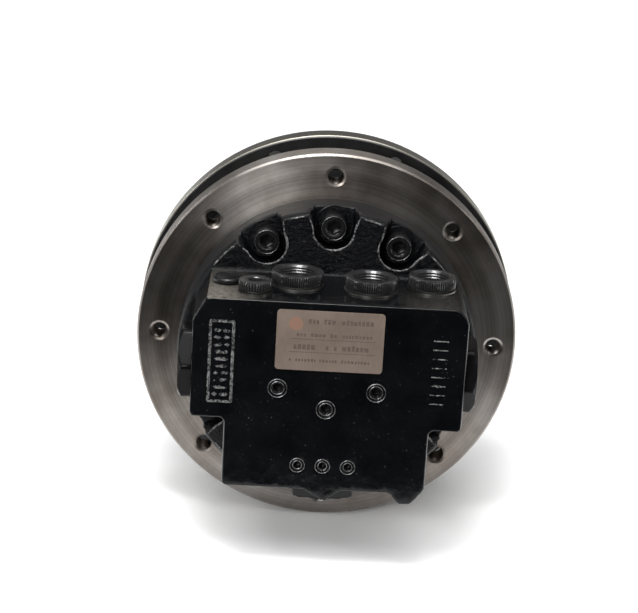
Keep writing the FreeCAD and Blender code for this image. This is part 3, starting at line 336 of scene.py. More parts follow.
def drum_iron():
    """The drum: black enamel, which on the hub and the front face of the sprocket flange in the gap is also
    painted shade, with the rim and back of the sprocket flange turned bare.
    """
    g = Graph("drum_iron")
    radius, y = g.radius_y()
    rings = g.noise(g.join(radius, g.math("MULTIPLY", y, 0.8)), 900.0, 3.0, 0.7)
    cloud = g.noise(g.position(), 40.0, 4.0)
    outside = g.math("MULTIPLY", g.math("SUBTRACT", radius, PILOT_R), 1500.0, clamp=True)
    behind = g.math("MULTIPLY", g.math("SUBTRACT", y, SPROCKET_FRONT), 1500.0, clamp=True)
    flange = g.math("MULTIPLY", outside, behind)
    bare = g.ramp(rings, (0.3, (0.17, 0.16, 0.135)), (0.7, (0.40, 0.38, 0.33)))
    # Black paint: the drum's enamel, kept black on the hub and flange front as painted shade for the deep gap
    # between the flanges.
    paint = g.ramp(cloud, (0.3, 0.003), (0.75, 0.008))
    g.surface(Base_Color=g.mix(flange, paint, bare), Metallic=flange,
              Roughness=g.ramp(cloud, (0.3, 0.28), (0.75, 0.42)), Specular_IOR_Level=0.4,
              Normal=g.bump(g.math("ADD", rings, cloud), 0.00005, 0.5))
    return g.material


def worn_edge():
    """Black-oxide steel rubbed bright on its ridges."""
    g = Graph("worn_edge")
    wear = g.noise(g.position(), 700.0, 4.0, 0.65)
    g.surface(Base_Color=g.ramp(wear, (0.35, 0.05), (0.65, 0.30)), Metallic=1.0,
              Roughness=g.ramp(wear, (0.3, 0.22), (0.7, 0.4)), Normal=g.bump(wear, 0.00003, 0.4))
    return g.material


def painted_glint_ridge():
    """Raised ridges of the casting: glossy black, with painted highlight grains of light grey scattered over
    it.
    """
    g = Graph("painted_glint_ridge")
    grain = g.noise(g.position(), 800.0, 4.0, 0.7)
    lumps = g.noise(g.position(), 260.0, 3.0, 0.6)
    blend = g.math("ADD", g.math("MULTIPLY", grain, 0.65), g.math("MULTIPLY", lumps, 0.35))
    # thin marks the painted highlight grains: light grey mixed into the glossy black where the noise is high.
    thin = g.ramp(blend, (0.45, 0.0), (0.62, 1.0))
    g.surface(Base_Color=g.mix(thin, (0.002, 0.0021, 0.0025), (0.20, 0.198, 0.195)),
              Roughness=g.ramp(grain, (0.3, 0.16), (0.7, 0.38)), Specular_IOR_Level=0.5,
              Normal=g.bump(grain, 0.0006, 0.8))
    return g.material


MATERIALS = {
    "machined_steel": turned_steel(),
    "cast_block": casting_enamel(),
    "black_paint": enamel("black_paint_coat", (0.0015, 0.0016, 0.0018), (0.004, 0.004, 0.0045), 0.15, 0.07),
    "drum_iron": drum_iron(),
    "black_screws": enamel("black_screw_coat", (0.003, 0.003, 0.0033), (0.009, 0.009, 0.0095), 0.20, 0.2),
    "plate": plate_foil(),
    "ground_steel": ground_steel("ground_steel_skin", (0.42, 0.42, 0.41), (0.58, 0.58, 0.56), 0.22),
    "spring_steel": ground_steel("spring_wire", (0.28, 0.28, 0.29), (0.42, 0.42, 0.43), 0.30),
    "gear_steel": ground_steel("hardened_steel", (0.30, 0.30, 0.31), (0.46, 0.46, 0.47), 0.28),
    "bronze": lapped_bronze(),
    "seal_metal": ground_steel("zinc_plate", (0.10, 0.097, 0.09), (0.20, 0.195, 0.185), 0.34),
    "black_plastic": moulded_plastic(),
    "rubber": soft_rubber(),
    "friction_lining": sintered_lining(),
}
WORN_EDGE = worn_edge()
PAINTED_GLINT_RIDGE = painted_glint_ridge()
for node_name, node in nodes.items():
    for material_slot in node.material_slots:
        material_slot.material = MATERIALS[slot_of[node_name]]


# --- mesh helpers -------------------------------------------------------------------------
def finish_mesh(mesh, sharp_deg=38.0):
    mesh.update()
    mesh.shade_smooth()
    mesh.set_sharp_from_angle(angle=math.radians(sharp_deg))


def add_piece(name, mesh, node_name, material=None):
    """A piece that belongs to one CAD node and rides on that node's body."""
    piece = bpy.data.objects.new(name, mesh)
    bpy.context.scene.collection.objects.link(piece)
    mesh.materials.append(material or MATERIALS[slot_of[node_name]])
    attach(piece, body_of[node_name])
    return piece


def replace_node(name, mesh, node_name):
    piece = add_piece(name, mesh, node_name)
    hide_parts(node_name)
    return piece


def solid_boxes(node_name):
    """The lowest and highest corner of each separate solid in a CAD node."""
    bm = bmesh.new()
    bm.from_mesh(nodes[node_name].data)
    bmesh.ops.remove_doubles(bm, verts=bm.verts, dist=1e-6)
    left = set(bm.verts)
    boxes = []
    while left:
        todo = [left.pop()]
        found = []
        while todo:
            vertex = todo.pop()
            found.append(vertex.co.copy())
            for edge in vertex.link_edges:
                other = edge.other_vert(vertex)
                if other in left:
                    left.discard(other)
                    todo.append(other)
        low = Vector([min(c[i] for c in found) for i in range(3)])
        high = Vector([max(c[i] for c in found) for i in range(3)])
        boxes.append((low, high))
    bm.free()
    return sorted(boxes, key=lambda b: tuple(b[0]))


def facing(position, axis):
    """A matrix that puts local Z along axis, with its origin at position."""
    turn = Vector((0, 0, 1)).rotation_difference(Vector(axis))
    return Matrix.Translation(position) @ turn.to_matrix().to_4x4()


def round_ring(radius):
    return lambda angle: radius


def hex_ring(apothem, limit=None, turn=0.0):
    """A hexagon's radius, optionally cut back to a circle of radius limit."""

    def radius(angle):
        part = (angle - turn + math.pi / 6) % (math.pi / 3) - math.pi / 6
        reach = apothem / math.cos(part)
        return reach if limit is None else min(reach, limit)

    return radius


def knurl_ring(radius, ribs, depth):
    """Rounded ribs with narrow valleys between them."""
    return lambda angle: radius - depth * (1 - abs(math.sin(angle * ribs / 2)) ** 0.6)


def soft(points, radius, steps=3):
    """An open (radius, height) profile with its corners rounded off."""
    out = [points[0]]
    for before, corner, after in zip(points, points[1:], points[2:]):
        c = Vector(corner)
        back = Vector(before) - c
        ahead = Vector(after) - c
        a = c + back.normalized() * min(radius, back.length * 0.45)
        b = c + ahead.normalized() * min(radius, ahead.length * 0.45)
        for i in range(steps + 1):
            t = i / steps
            out.append(tuple(a * (1 - t) ** 2 + c * 2 * t * (1 - t) + b * t ** 2))
    out.append(points[-1])
    return out


def swept(rings, place, segments, bm=None):
    """Rings round local Z, each (radius function, height), closed at both ends."""
    own = bm or bmesh.new()
    loops = []
    for shape, height in rings:
        loop = []
        for i in range(segments):
            angle = 2 * math.pi * i / segments
            r = shape(angle)
            loop.append(own.verts.new(place @ Vector((r * math.cos(angle), r * math.sin(angle), height))))
        loops.append(loop)
    for low, high in zip(loops, loops[1:]):
        for i in range(segments):
            j = (i + 1) % segments
            own.faces.new((low[i], low[j], high[j], high[i]))
    for loop, flip in ((loops[0], True), (loops[-1], False)):
        centre = own.verts.new(sum((v.co for v in loop), Vector()) / segments)
        for i in range(segments):
            j = (i + 1) % segments
            own.faces.new((loop[j], loop[i], centre) if flip else (loop[i], loop[j], centre))
    return own


def to_mesh(bm, name, sharp_deg=38.0):
    bmesh.ops.recalc_face_normals(bm, faces=bm.faces)
    mesh = bpy.data.meshes.new(name)
    bm.to_mesh(mesh)
    bm.free()
    finish_mesh(mesh, sharp_deg)
    return mesh


def rings_of(points):
    return [(round_ring(r), h) for r, h in points]


def add_rings(name, rings, thickness, node_name, material):
    """Thin round beads, each (place, radius, height), with a circular section."""
    bm = bmesh.new()
    around, across = 96, 8
    for place, radius, height in rings:
        loops = []
        for i in range(around):
            angle = 2 * math.pi * i / around
            loop = []
            for j in range(across):
                turn = 2 * math.pi * j / across
                r = radius + thickness * math.cos(turn)
                lift = height + thickness * math.sin(turn)
                point = Vector((r * math.cos(angle), r * math.sin(angle), lift))
                loop.append(bm.verts.new(place @ point))
            loops.append(loop)
        for i in range(around):
            first, second = loops[i], loops[(i + 1) % around]
            for j in range(across):
                k = (j + 1) % across
                bm.faces.new((first[j], second[j], second[k], first[k]))
    add_piece(name, to_mesh(bm, name), node_name, material)


def screw_threads(name, node_name, spots, start, end):
    """The thread in each tapped hole: a closed sleeve with a sawtooth inside, set in the wall."""
    bm = bmesh.new()
    around = 40
    root_r = M12_DRILL_R - 0.02 * MM
    buried_r = M12_DRILL_R + 0.3 * MM
    length = end - start
    turns = int(length / M12_PITCH)
    inner = []
    for i in range(turns):
        base = (length - turns * M12_PITCH) / 2 + M12_PITCH * i
        inner += [(root_r, base), (M12_DRILL_R - M12_CREST, base + M12_PITCH * 0.5)]
    inner.append((root_r, inner[-1][1] + M12_PITCH * 0.5))
    section = [(buried_r, inner[0][1])] + inner + [(buried_r, inner[-1][1])]
    for x, z in spots:
        place = facing(Vector((x, start, z)), BACK)
        loops = []
        for radius, height in section:
            loop = []
            for i in range(around):
                angle = 2 * math.pi * i / around
                point = Vector((radius * math.cos(angle), radius * math.sin(angle), height))
                loop.append(bm.verts.new(place @ point))
            loops.append(loop)
        for k in range(len(loops)):
            first, second = loops[k], loops[(k + 1) % len(loops)]
            for i in range(around):
                j = (i + 1) % around
                bm.faces.new((first[i], first[j], second[j], second[i]))
    add_piece(name, to_mesh(bm, name), node_name)


# --- turned pieces ------------------------------------------------------------------------
def socket_head(place, head_r, head_h, shank_r, shank, socket_af, ribs, bm):
    """A socket head screw; local Z points out of the head, and z=0 is the head's seat."""
    depth = head_h * 0.5
    low = rings_of(soft([(shank_r * 0.9, -shank), (shank_r, -shank + 1 * MM), (shank_r, 0),
                         (head_r - 0.2 * MM, 0)], 0.2 * MM))
    side_start, side_end = 0.6 * MM, head_h - 0.9 * MM
    knurl = knurl_ring(head_r, ribs, 0.22 * MM)
    side = [(knurl, side_start), (knurl, side_end)]
    socket_r = socket_af / 2
    top = rings_of(soft([(head_r - 0.15 * MM, side_end + 0.2 * MM), (head_r - 0.55 * MM, head_h),
                         (socket_r * 1.3, head_h), (socket_r * 1.19, head_h - 0.3 * MM)], 0.2 * MM))
    hole = [(hex_ring(socket_r), head_h - 0.6 * MM), (hex_ring(socket_r), head_h - depth),
            (round_ring(socket_r * 0.4), head_h - depth - 0.8 * MM)]
    return swept(low + side + top + hole, place, ribs * 4, bm)


def screw_set(name, node_name, outward, head_r, head_h, shank_r, socket_af):
    bm = bmesh.new()
    for low, high in solid_boxes(node_name):
        middle = (low + high) / 2
        head_y, tip_y = (low.y, high.y) if outward.y < 0 else (high.y, low.y)
        seat = Vector((middle.x, head_y - outward.y * head_h, middle.z))
        socket_head(facing(seat, outward), head_r, head_h, shank_r, abs(tip_y - seat.y), socket_af, 36, bm)
    replace_node(name, to_mesh(bm, name), node_name)


def gallery_plug_set(name, node_name, socket_af):
    """Set plugs: a thin proud collar, a countersunk face, two bright beads and a hexagon socket."""
    bm = bmesh.new()
    beads = []
    for low, high in solid_boxes(node_name):
        middle = (low + high) / 2
        collar_r = (high.x - low.x) / 2
        face = block_front
        proud = face - low.y
        place = facing(Vector((middle.x, face, middle.z)), FRONT)
        socket_r = socket_af / 2
        rim = soft([(collar_r * 0.6, -(high.y - face)), (collar_r * 0.8, -(high.y - face) + 1 * MM),
                    (collar_r * 0.8, -0.4 * MM), (collar_r, -0.3 * MM), (collar_r - 0.2 * MM, proud),
                    (collar_r - 0.8 * MM, proud), (collar_r - 1.1 * MM, -0.9 * MM),
                    (collar_r - 1.9 * MM, -0.9 * MM), (collar_r - 2.1 * MM, 0.0),
                    (socket_r * 1.24, 0.0)], 0.25 * MM)
        hole = [(hex_ring(socket_r), -0.6 * MM), (hex_ring(socket_r), -4.5 * MM),
                (round_ring(socket_r * 0.4), -5.0 * MM)]
        swept(rings_of(rim) + hole, place, 72, bm)
        for bead_r, bead_h in ((collar_r - 0.5 * MM, proud - 0.12 * MM), (collar_r - 2.2 * MM, -0.1 * MM)):
            beads.append((place, bead_r, bead_h))
    add_rings(name + "_beads", beads, 0.24 * MM, node_name, WORN_EDGE)
    replace_node(name, to_mesh(bm, name), node_name)


def cup_cap(name, node_name, ribs, bore_share, floor_share, threads):
    """A knurled shipping cap: stem, smooth foot, knurled skirt and a hollow or holed top."""
    low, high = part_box(node_name)
    centre = (low + high) / 2
    radius = (high.x - low.x) / 2
    top_z = high.z
    foot_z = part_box("port_washers")[1].z + 0.1 * MM
    height = top_z - foot_z
    stem = foot_z - low.z
    stem_r = radius * 0.68
    place = Matrix.Translation(Vector((centre.x, centre.y, foot_z)))
    foot = rings_of(soft([(stem_r - 0.6 * MM, -stem), (stem_r, -stem + 0.8 * MM), (stem_r, 0.0),
                          (radius - 0.8 * MM, 0.0), (radius - 0.55 * MM, 0.7 * MM)], 0.25 * MM))
    depth = 1.15 * MM if ribs < 50 else 0.95 * MM
    skirt = []
    for h, inset in ((0.8 * MM, 0.3 * MM), (1.2 * MM, 0.0),
                     (height - 0.75 * MM, 0.0), (height - 0.3 * MM, 0.25 * MM)):
        skirt.append((knurl_ring(radius - inset, ribs, depth), h))
    bore = radius * bore_share
    floor = height * floor_share
    root_r = radius - depth
    top = rings_of(soft([(root_r - 0.35 * MM, height - 0.05 * MM), (root_r - 0.7 * MM, height),
                         (bore + 0.6 * MM, height), (bore, height - 0.7 * MM)], 0.3 * MM))
    inner = []
    if threads:
        pitch = (height - 0.8 * MM - floor) / threads
        for i in range(threads):
            h = height - 0.8 * MM - pitch * i
            root, crest = round_ring(bore + 0.05 * MM), round_ring(bore - 0.45 * MM)
            inner += [(root, h), (crest, h - pitch * 0.35),
                      (crest, h - pitch * 0.5), (root, h - pitch * 0.85)]
    bottom = [(bore, floor + 0.3 * MM), (bore - 0.4 * MM, floor), (bore * 0.3, floor)]
    inner += rings_of(soft(bottom, 0.2 * MM))
    mesh = to_mesh(swept(foot + skirt + top + inner, place, ribs * 4), name)
    replace_node(name, mesh, node_name)


def disc_plug(name, node_name):
    """A flat round plug with a rolled edge and a slightly dished top."""
    low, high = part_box(node_name)
    centre = (low + high) / 2
    radius = (high.x - low.x) / 2
    top = high.z
    seat = top - 3.6 * MM
    place = Matrix.Translation(Vector((centre.x, centre.y, seat)))
    profile = soft([(6.4 * MM, low.z - seat), (7 * MM, low.z - seat + 0.8 * MM), (7 * MM, 0),
                    (radius - 0.5 * MM, 0), (radius, 0.6 * MM), (radius, 2.6 * MM),
                    (radius - 0.9 * MM, 3.6 * MM), (radius - 1.7 * MM, 3.6 * MM),
                    (radius - 2.2 * MM, 3.25 * MM), (1 * MM, 3.4 * MM)], 0.3 * MM)
    replace_node(name, to_mesh(swept(rings_of(profile), place, 96), name), node_name)


def hexagon_cap(name, node_name, side, face_x):
    """The hexagon screw cap of the counterbalance valve, its corners chamfered to a circle."""
    low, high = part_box(node_name)
    centre = (low + high) / 2
    outer = high.x if side > 0 else -low.x
    inner = low.x if side > 0 else -high.x
    thickness = outer - face_x
    apothem = HEXAGON_AF / 2
    corner = apothem / math.cos(math.pi / 6)
    place = facing(Vector((side * face_x, centre.y, centre.z)), (side, 0, 0))
    turn = math.radians(HEXAGON_TURN_DEG)
    rings = rings_of([(15 * MM, inner - face_x), (15.9 * MM, inner - face_x + 1 * MM), (15.9 * MM, -0.5 * MM),
                      (apothem - 0.5 * MM, 0.0)])
    rings.append((hex_ring(apothem - 0.2 * MM, corner - 0.9 * MM, turn), 0.4 * MM))
    steps = 6
    for i in range(steps + 1):
        share = i / steps
        limit = corner - 0.3 * MM - (corner - apothem - 0.2 * MM) * share
        height = thickness - 2.4 * MM * (1 - share)
        rings.append((hex_ring(apothem - 0.1 * MM * share, limit, turn), height))
    dish = thickness - 0.35 * MM
    rings += rings_of(soft([(apothem - 0.6 * MM, thickness), (apothem - 2.2 * MM, thickness),
                            (apothem - 2.6 * MM, dish), (3 * MM, dish)], 0.2 * MM))
    replace_node(name, to_mesh(swept(rings, place, 144), name, 30.0), node_name)


def bolt_circle(radius, count, first_deg):
    angles = [math.radians(first_deg + 360.0 * i / count) for i in range(count)]
    return [(radius * math.cos(a), radius * math.sin(a)) for a in angles]


def screw_seats():
    """A machined ring round each cover screw at the floor of its pocket, and a worn line on its head."""
    seats = []
    rims = []
    for low, high in solid_boxes("cover_screws"):
        middle = (low + high) / 2
        seat = Vector((middle.x, low.y + COVER_SCREW["head_h"], middle.z))
        seats.append((facing(seat, FRONT), 11.4 * MM, 0.1 * MM))
        rims.append((facing(Vector((middle.x, low.y, middle.z)), FRONT), 7.3 * MM, 0.22 * MM))
    add_rings("cover_screw_seats", seats, 0.42 * MM, "port_block", MATERIALS["black_screws"])
    add_rings("cover_screw_rims", rims, 0.2 * MM, "cover_screws", WORN_EDGE)


block_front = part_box("port_block")[0].y
screw_seats()
screw_threads("frame_bolt_threads", "spindle", bolt_circle(FRAME_BOLT_R, 8, 0), *FRAME_THREAD)
screw_threads("sprocket_bolt_threads", "gear_housing", bolt_circle(SPROCKET_BOLT_R, 9, 110), *SPROCKET_THREAD)
screw_set("cover_socket_screws", "cover_screws", FRONT, **COVER_SCREW)
screw_set("drum_cover_screws", "end_cover_screws", BACK, **DRUM_SCREW)
gallery_plug_set("gallery_set_plugs_large", "gallery_plugs_large", 5 * MM)
gallery_plug_set("gallery_set_plugs_small", "gallery_plugs_small", 4 * MM)
cup_cap("shipping_cap_a", "cap_port_a", 72, 0.70, 0.22, 3)
cup_cap("shipping_cap_b", "cap_port_b", 72, 0.70, 0.22, 3)
cup_cap("shipping_cap_drain", "cap_drain", 66, 0.70, 0.22, 3)
cup_cap("shipping_cap_pilot", "cap_pilot", 36, 0.40, 0.45, 0)
disc_plug("speed_valve_disc", "speed_valve_plug")
hexagon_cap("counterbalance_hexagon_left", "counterbalance_cap_left", -1, HEXAGON_FACE_LEFT)
hexagon_cap("counterbalance_hexagon_right", "counterbalance_cap_right", 1, HEXAGON_FACE_RIGHT)


# --- the casting --------------------------------------------------------------------------
def box_into(bm, low, high):
    """A box from its two corners."""
    size = high - low
    for vertex in bmesh.ops.create_cube(bm, size=1.0)["verts"]:
        share = vertex.co + Vector((0.5, 0.5, 0.5))
        vertex.co = low + Vector((size.x * share.x, size.y * share.y, size.z * share.z))


def screw_spots():
    """Where the cover screws stand: (angle, distance from the axis)."""
    spots = []
    for low, high in solid_boxes("cover_screws"):
        middle = (low + high) / 2
        spots.append((math.atan2(middle.z, middle.x), math.hypot(middle.x, middle.z)))
    return spots


def from_polar(angle, out, across, y):
    """A point at distance out along the angle and across to its left."""
    x = out * math.cos(angle) - across * math.sin(angle)
    z = out * math.sin(angle) + across * math.cos(angle)
    return Vector((x, y, z))


def pocket_flares():
    """A wedge over each screw pocket that opens its mouth towards the rim."""
    bm = bmesh.new()
    for angle, out in screw_spots():
        near, far = out + 1 * MM, out + 18 * MM
        outline = ((near, 12.2 * MM), (far, 20 * MM), (far, -20 * MM), (near, -12.2 * MM))
        front = [bm.verts.new(from_polar(angle, o, w, COVER_FRONT - 8 * MM)) for o, w in outline]
        back = [bm.verts.new(from_polar(angle, o, w * 0.86, COVER_FRONT + 8 * MM)) for o, w in outline]
        for i in range(4):
            j = (i + 1) % 4
            bm.faces.new((front[i], front[j], back[j], back[i]))
        bm.faces.new(front)
        bm.faces.new(list(reversed(back)))
    bmesh.ops.recalc_face_normals(bm, faces=bm.faces)
    mesh = bpy.data.meshes.new("pocket_flares")
    bm.to_mesh(mesh)
    bm.free()
    cutter = bpy.data.objects.new("pocket_flares", mesh)
    bpy.context.scene.collection.objects.link(cutter)
    return cutter


def rough_beads(name, paths, thickness, seed):
    """Uneven ridges along open paths, as paint and flash gather on a casting's edges."""
    rng = random.Random(seed)
    bm = bmesh.new()
    across = 7
    for path in paths:
        loops = []
        for i, point in enumerate(path):
            ahead = (path[min(i + 1, len(path) - 1)] - path[max(i - 1, 0)]).normalized()
            side = ahead.cross(Vector((0, 1, 0))).normalized()
            size = thickness * (rng.uniform(0.45, 1.15) if 0 < i < len(path) - 1 else 0.15)
            loop = []
            for j in range(across):
                turn = 2 * math.pi * j / across
                proud = Vector((0, size * math.sin(turn), 0))
                loop.append(bm.verts.new(point + side * size * math.cos(turn) + proud))
            loops.append(loop)
        for first, second in zip(loops, loops[1:]):
            for j in range(across):
                k = (j + 1) % across
                bm.faces.new((first[j], first[k], second[k], second[j]))
        bm.faces.new(list(reversed(loops[0])))
        bm.faces.new(loops[-1])
    add_piece(name, to_mesh(bm, name, 60.0), "port_block", PAINTED_GLINT_RIDGE)


def cover_ridges():
    """Ridges round each pocket and along the front edge of the cover between the pockets."""
    lips = []
    edge_out = REGISTER_R - 2.4 * MM
    for angle, out in screw_spots():
        outline = [(out + 8 * MM, 15.4 * MM), (out + 4 * MM, 13.9 * MM), (out + 1 * MM, 12.7 * MM)]
        for i in range(17):
            turn = math.pi * (0.5 + i / 16)
            outline.append((out + 12.6 * MM * math.cos(turn), 12.6 * MM * math.sin(turn)))
        outline += [(o, -w) for o, w in outline[2::-1]]
        lips.append([from_polar(angle, o, w, COVER_FRONT + 0.15 * MM) for o, w in outline])
    rough_beads("pocket_lips", lips, 0.74 * MM, 11)
    arcs = []
    between = ((37, 48.5), (71.5, 78.5), (101.5, 108.5), (131.5, 143), (222, 232), (308, 318))
    for start_deg, end_deg in between:
        count = int((end_deg - start_deg) / 1.1) + 3
        arc = []
        for i in range(count):
            angle = math.radians(start_deg + (end_deg - start_deg) * i / (count - 1))
            arc.append(from_polar(angle, edge_out, 0, COVER_FRONT + 0.2 * MM))
        arcs.append(arc)
    rough_beads("cover_edge_ridges", arcs, 0.7 * MM, 12)


def casting():
    """The valve block and cover as one casting, its edges worn round as sand castings are."""
    source = nodes["port_block"]
    bm = bmesh.new()
    bm.from_mesh(source.data)
    bmesh.ops.remove_doubles(bm, verts=bm.verts, dist=1e-6)
    mesh = bpy.data.meshes.new("valve_casting")
    bm.to_mesh(mesh)
    bm.free()
    piece = replace_node("valve_casting", mesh, "port_block")
    cutter = pocket_flares()
    flare = piece.modifiers.new("flare", "BOOLEAN")
    flare.operation = "DIFFERENCE"
    flare.object = cutter
    remesh = piece.modifiers.new("skin", "REMESH")
    remesh.mode = "VOXEL"
    remesh.voxel_size = 1.0 * MM
    remesh.use_smooth_shade = True
    relax = piece.modifiers.new("relax", "SMOOTH")
    relax.factor = 0.5
    relax.iterations = 4
    grit = bpy.data.textures.new("casting_grit", "CLOUDS")
    grit.noise_scale = 0.006
    grit.noise_depth = 2
    lumps = piece.modifiers.new("lumps", "DISPLACE")
    lumps.texture = grit
    lumps.texture_coords = "LOCAL"
    lumps.strength = 0.25 * MM
    lumps.mid_level = 0.75
    thin = piece.modifiers.new("thin", "DECIMATE")
    thin.ratio = 0.45
    evaluated = piece.evaluated_get(bpy.context.evaluated_depsgraph_get())
    final = bpy.data.meshes.new_from_object(evaluated)
    final.name = "valve_casting_skin"
    piece.modifiers.clear()
    piece.data = final
    bpy.data.objects.remove(cutter)
    finish_mesh(final, 60.0)


casting()
cover_ridges()


# --- springs ------------------------------------------------------------------------------
def travelling_spring(name, node_name, axis, fixed_side):
    """A copy of the CAD coil as its own object, baked in place, with the CAD node hidden."""
    source = nodes[node_name]
    mesh = source.data.copy()
    mesh.transform(source.matrix_world)
    low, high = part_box(node_name)
    start, end = (low + high) / 2, (low + high) / 2
    start[axis], end[axis] = (low[axis], high[axis]) if fixed_side < 0 else (high[axis], low[axis])
    piece = bpy.data.objects.new(name, mesh)
    bpy.context.scene.collection.objects.link(piece)
    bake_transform(piece)
    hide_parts(node_name)


travelling_spring("brake_coils", "brake_springs", 1, -1)
travelling_spring("counterbalance_coil_left", "counterbalance_spring_left", 0, -1)
travelling_spring("counterbalance_coil_right", "counterbalance_spring_right", 0, 1)
travelling_spring("speed_valve_coil", "speed_spring", 2, -1)


# --- plates and cast marks ----------------------------------------------------------------
def bevelled_boxes(name, boxes, bevel, node_name, material):
    bm = bmesh.new()
    for low, high in boxes:
        box_into(bm, low, high)
    bmesh.ops.bevel(bm, geom=list(bm.edges), offset=bevel, segments=2, affect="EDGES")
    add_piece(name, to_mesh(bm, name), node_name, material)


def rounded_plate(name, node_name, corner, depth_bevel):
    """The foil nameplate: a thin plate with rounded corners and a soft edge."""
    low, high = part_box(node_name)
    bm = bmesh.new()
    outline = []
    steps = 8
    corners = ((high.x, high.z, 0), (low.x, high.z, 90), (low.x, low.z, 180), (high.x, low.z, 270))
    for x, z, start in corners:
        inward = math.radians(start + 45)
        cx = x - corner * math.copysign(1, math.cos(inward))
        cz = z - corner * math.copysign(1, math.sin(inward))
        for i in range(steps + 1):
            angle = math.radians(start + 90 * i / steps)
            outline.append((cx + corner * math.cos(angle), cz + corner * math.sin(angle)))
    front = [bm.verts.new((x, low.y + depth_bevel, z)) for x, z in outline]
    back = [bm.verts.new((x, high.y, z)) for x, z in outline]
    middle = Vector(((low.x + high.x) / 2, 0, (low.z + high.z) / 2))
    inset = []
    for x, z in outline:
        direction = Vector((x - middle.x, 0, z - middle.z)).normalized() * depth_bevel * 1.4
        inset.append(bm.verts.new((x - direction.x, low.y, z - direction.z)))
    count = len(outline)
    for i in range(count):
        j = (i + 1) % count
        bm.faces.new((front[i], front[j], back[j], back[i]))
        bm.faces.new((inset[i], inset[j], front[j], front[i]))
    bm.faces.new(inset)
    bm.faces.new(list(reversed(back)))
    replace_node(name, to_mesh(bm, name), node_name)


def print_marks():
    """Generic marks on the plate: a plain disc, rows of small blocks and ruled lines."""
    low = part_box("nameplate")[0]
    face = low.y
    lift = 0.04 * MM
    rng = random.Random(7)
    rows = []
    # (height from the bottom, block height, start, end, smallest and largest block)
    layout = ((29.0, 3.0, 18.5, 57.0, 1.4, 2.2), (21.0, 2.2, 12.0, 55.0, 1.0, 1.8),
              (13.0, 3.4, 10.5, 54.0, 1.6, 2.4), (5.5, 1.8, 8.0, 55.0, 0.7, 1.4))
    for height, tall, start, end, small, large in layout:
        x = start
        while x < end:
            wide = rng.uniform(small, large)
            if rng.random() > 0.12:
                corner = Vector((low.x + x * MM, face - lift, low.z + height * MM))
                size = Vector((wide * MM, lift * 1.5, tall * MM * rng.uniform(0.75, 1.0)))
                rows.append((corner, corner + size))
            x += wide + 0.7
    lines = []
    for height in (11.2, 19.2):
        corner = Vector((low.x + 8 * MM, face - lift, low.z + height * MM))
        lines.append((corner, corner + Vector((50 * MM, lift * 1.5, 0.3 * MM))))
    brown = print_ink("plate_ink", (0.030, 0.018, 0.013), (0.080, 0.055, 0.042))
    orange = print_ink("plate_ink_warm", (0.150, 0.060, 0.032), (0.110, 0.074, 0.054))
    bevelled_boxes("nameplate_rows", rows + lines, 0.02 * MM, "nameplate", brown)
    place = facing(Vector((low.x + 11.2 * MM, face + lift, low.z + 28.6 * MM)), FRONT)
    profile = soft([(4.2 * MM, 0), (4.2 * MM, 1.6 * lift), (4.0 * MM, 2 * lift), (1 * MM, 2 * lift)],
                   0.02 * MM)
    dot = to_mesh(swept(rings_of(profile), place, 64), "nameplate_dot")
    add_piece("nameplate_dot", dot, "nameplate", orange)


def cast_marks():
    """Raised foundry marks on the block's front: plain bars in a frame, and a column of bars."""
    face = block_front
    rng = random.Random(3)

    def bars(name, spans, proud, bevel):
        boxes = []
        for x0, z0, x1, z1 in spans:
            low_corner = Vector((x0 * MM, face - proud, z0 * MM))
            boxes.append((low_corner, Vector((x1 * MM, face + 1.2 * MM, z1 * MM))))
        bevelled_boxes(name, boxes, bevel, "port_block", PAINTED_GLINT_RIDGE)

    left, right, low, high, rim = -70.5, -55.3, -13.0, 38.4, 1.7
    bars("foundry_frame", [(left, low, left + rim, high), (right - rim, low, right, high),
                           (left + 0.4, high - rim, right - 0.4, high),
                           (left + 0.4, low, right - 0.4, low + rim)], 0.72 * MM, 0.65 * MM)
    rungs = []
    z = low + 4.2
    while z < high - 5.0:
        split = rng.uniform(-64.5, -61.5)
        if rng.random() < 0.6:
            rungs += [(-67.4, z, split - 0.8, z + 2.1),
                      (split + 0.8, z + rng.uniform(-0.4, 0.4), -58.2, z + 2.1)]
        else:
            rungs.append((-66.6, z, -59.0, z + 2.1))
        z += 4.4
    bars("foundry_rungs", rungs, 0.66 * MM, 0.7 * MM)
    column = []
    for i in range(8):
        z = -8.0 + 5.6 * i
        column.append((60.2, z, 69.8, z + 1.5))
    bars("foundry_column", column, 0.34 * MM, 0.45 * MM)


rounded_plate("nameplate_foil", "nameplate", 2.2 * MM, 0.12 * MM)
print_marks()
cast_marks()


# --- stage, light and camera --------------------------------------------------------------
def floor():
    lowest = cad_box[0].z
    size = 30.0
    bm = bmesh.new()
    square = ((-1, -1), (1, -1), (1, 1), (-1, 1))
    bm.faces.new([bm.verts.new((x * size, y * size, lowest - 0.2 * MM)) for x, y in square])
    mesh = bpy.data.meshes.new("floor")
    bm.to_mesh(mesh)
    bm.free()
    plane = bpy.data.objects.new("floor", mesh)
    bpy.context.scene.collection.objects.link(plane)
    g = Graph("pale_floor")
    cloud = g.noise(g.position(), 3.0, 2.0)
    g.surface(Base_Color=g.ramp(cloud, (0.3, 0.90), (0.7, 0.93)), Roughness=0.9, Specular_IOR_Level=0.1)
    mesh.materials.append(g.material)


def area_light(name, position, target, size, power):
    data = bpy.data.lights.new(name, "AREA")
    data.shape = "RECTANGLE"
    data.size, data.size_y = size
    data.energy = power
    lamp = bpy.data.objects.new(name, data)
    bpy.context.scene.collection.objects.link(lamp)
    lamp.location = position
    lamp.rotation_euler = (Vector(target) - Vector(position)).to_track_quat("-Z", "Y").to_euler()


def sun(name, direction, angle_deg, strength):
    data = bpy.data.lights.new(name, "SUN")
    data.energy = strength
    data.angle = math.radians(angle_deg)
    lamp = bpy.data.objects.new(name, data)
    bpy.context.scene.collection.objects.link(lamp)
    lamp.rotation_euler = Vector(direction).to_track_quat("-Z", "Y").to_euler()


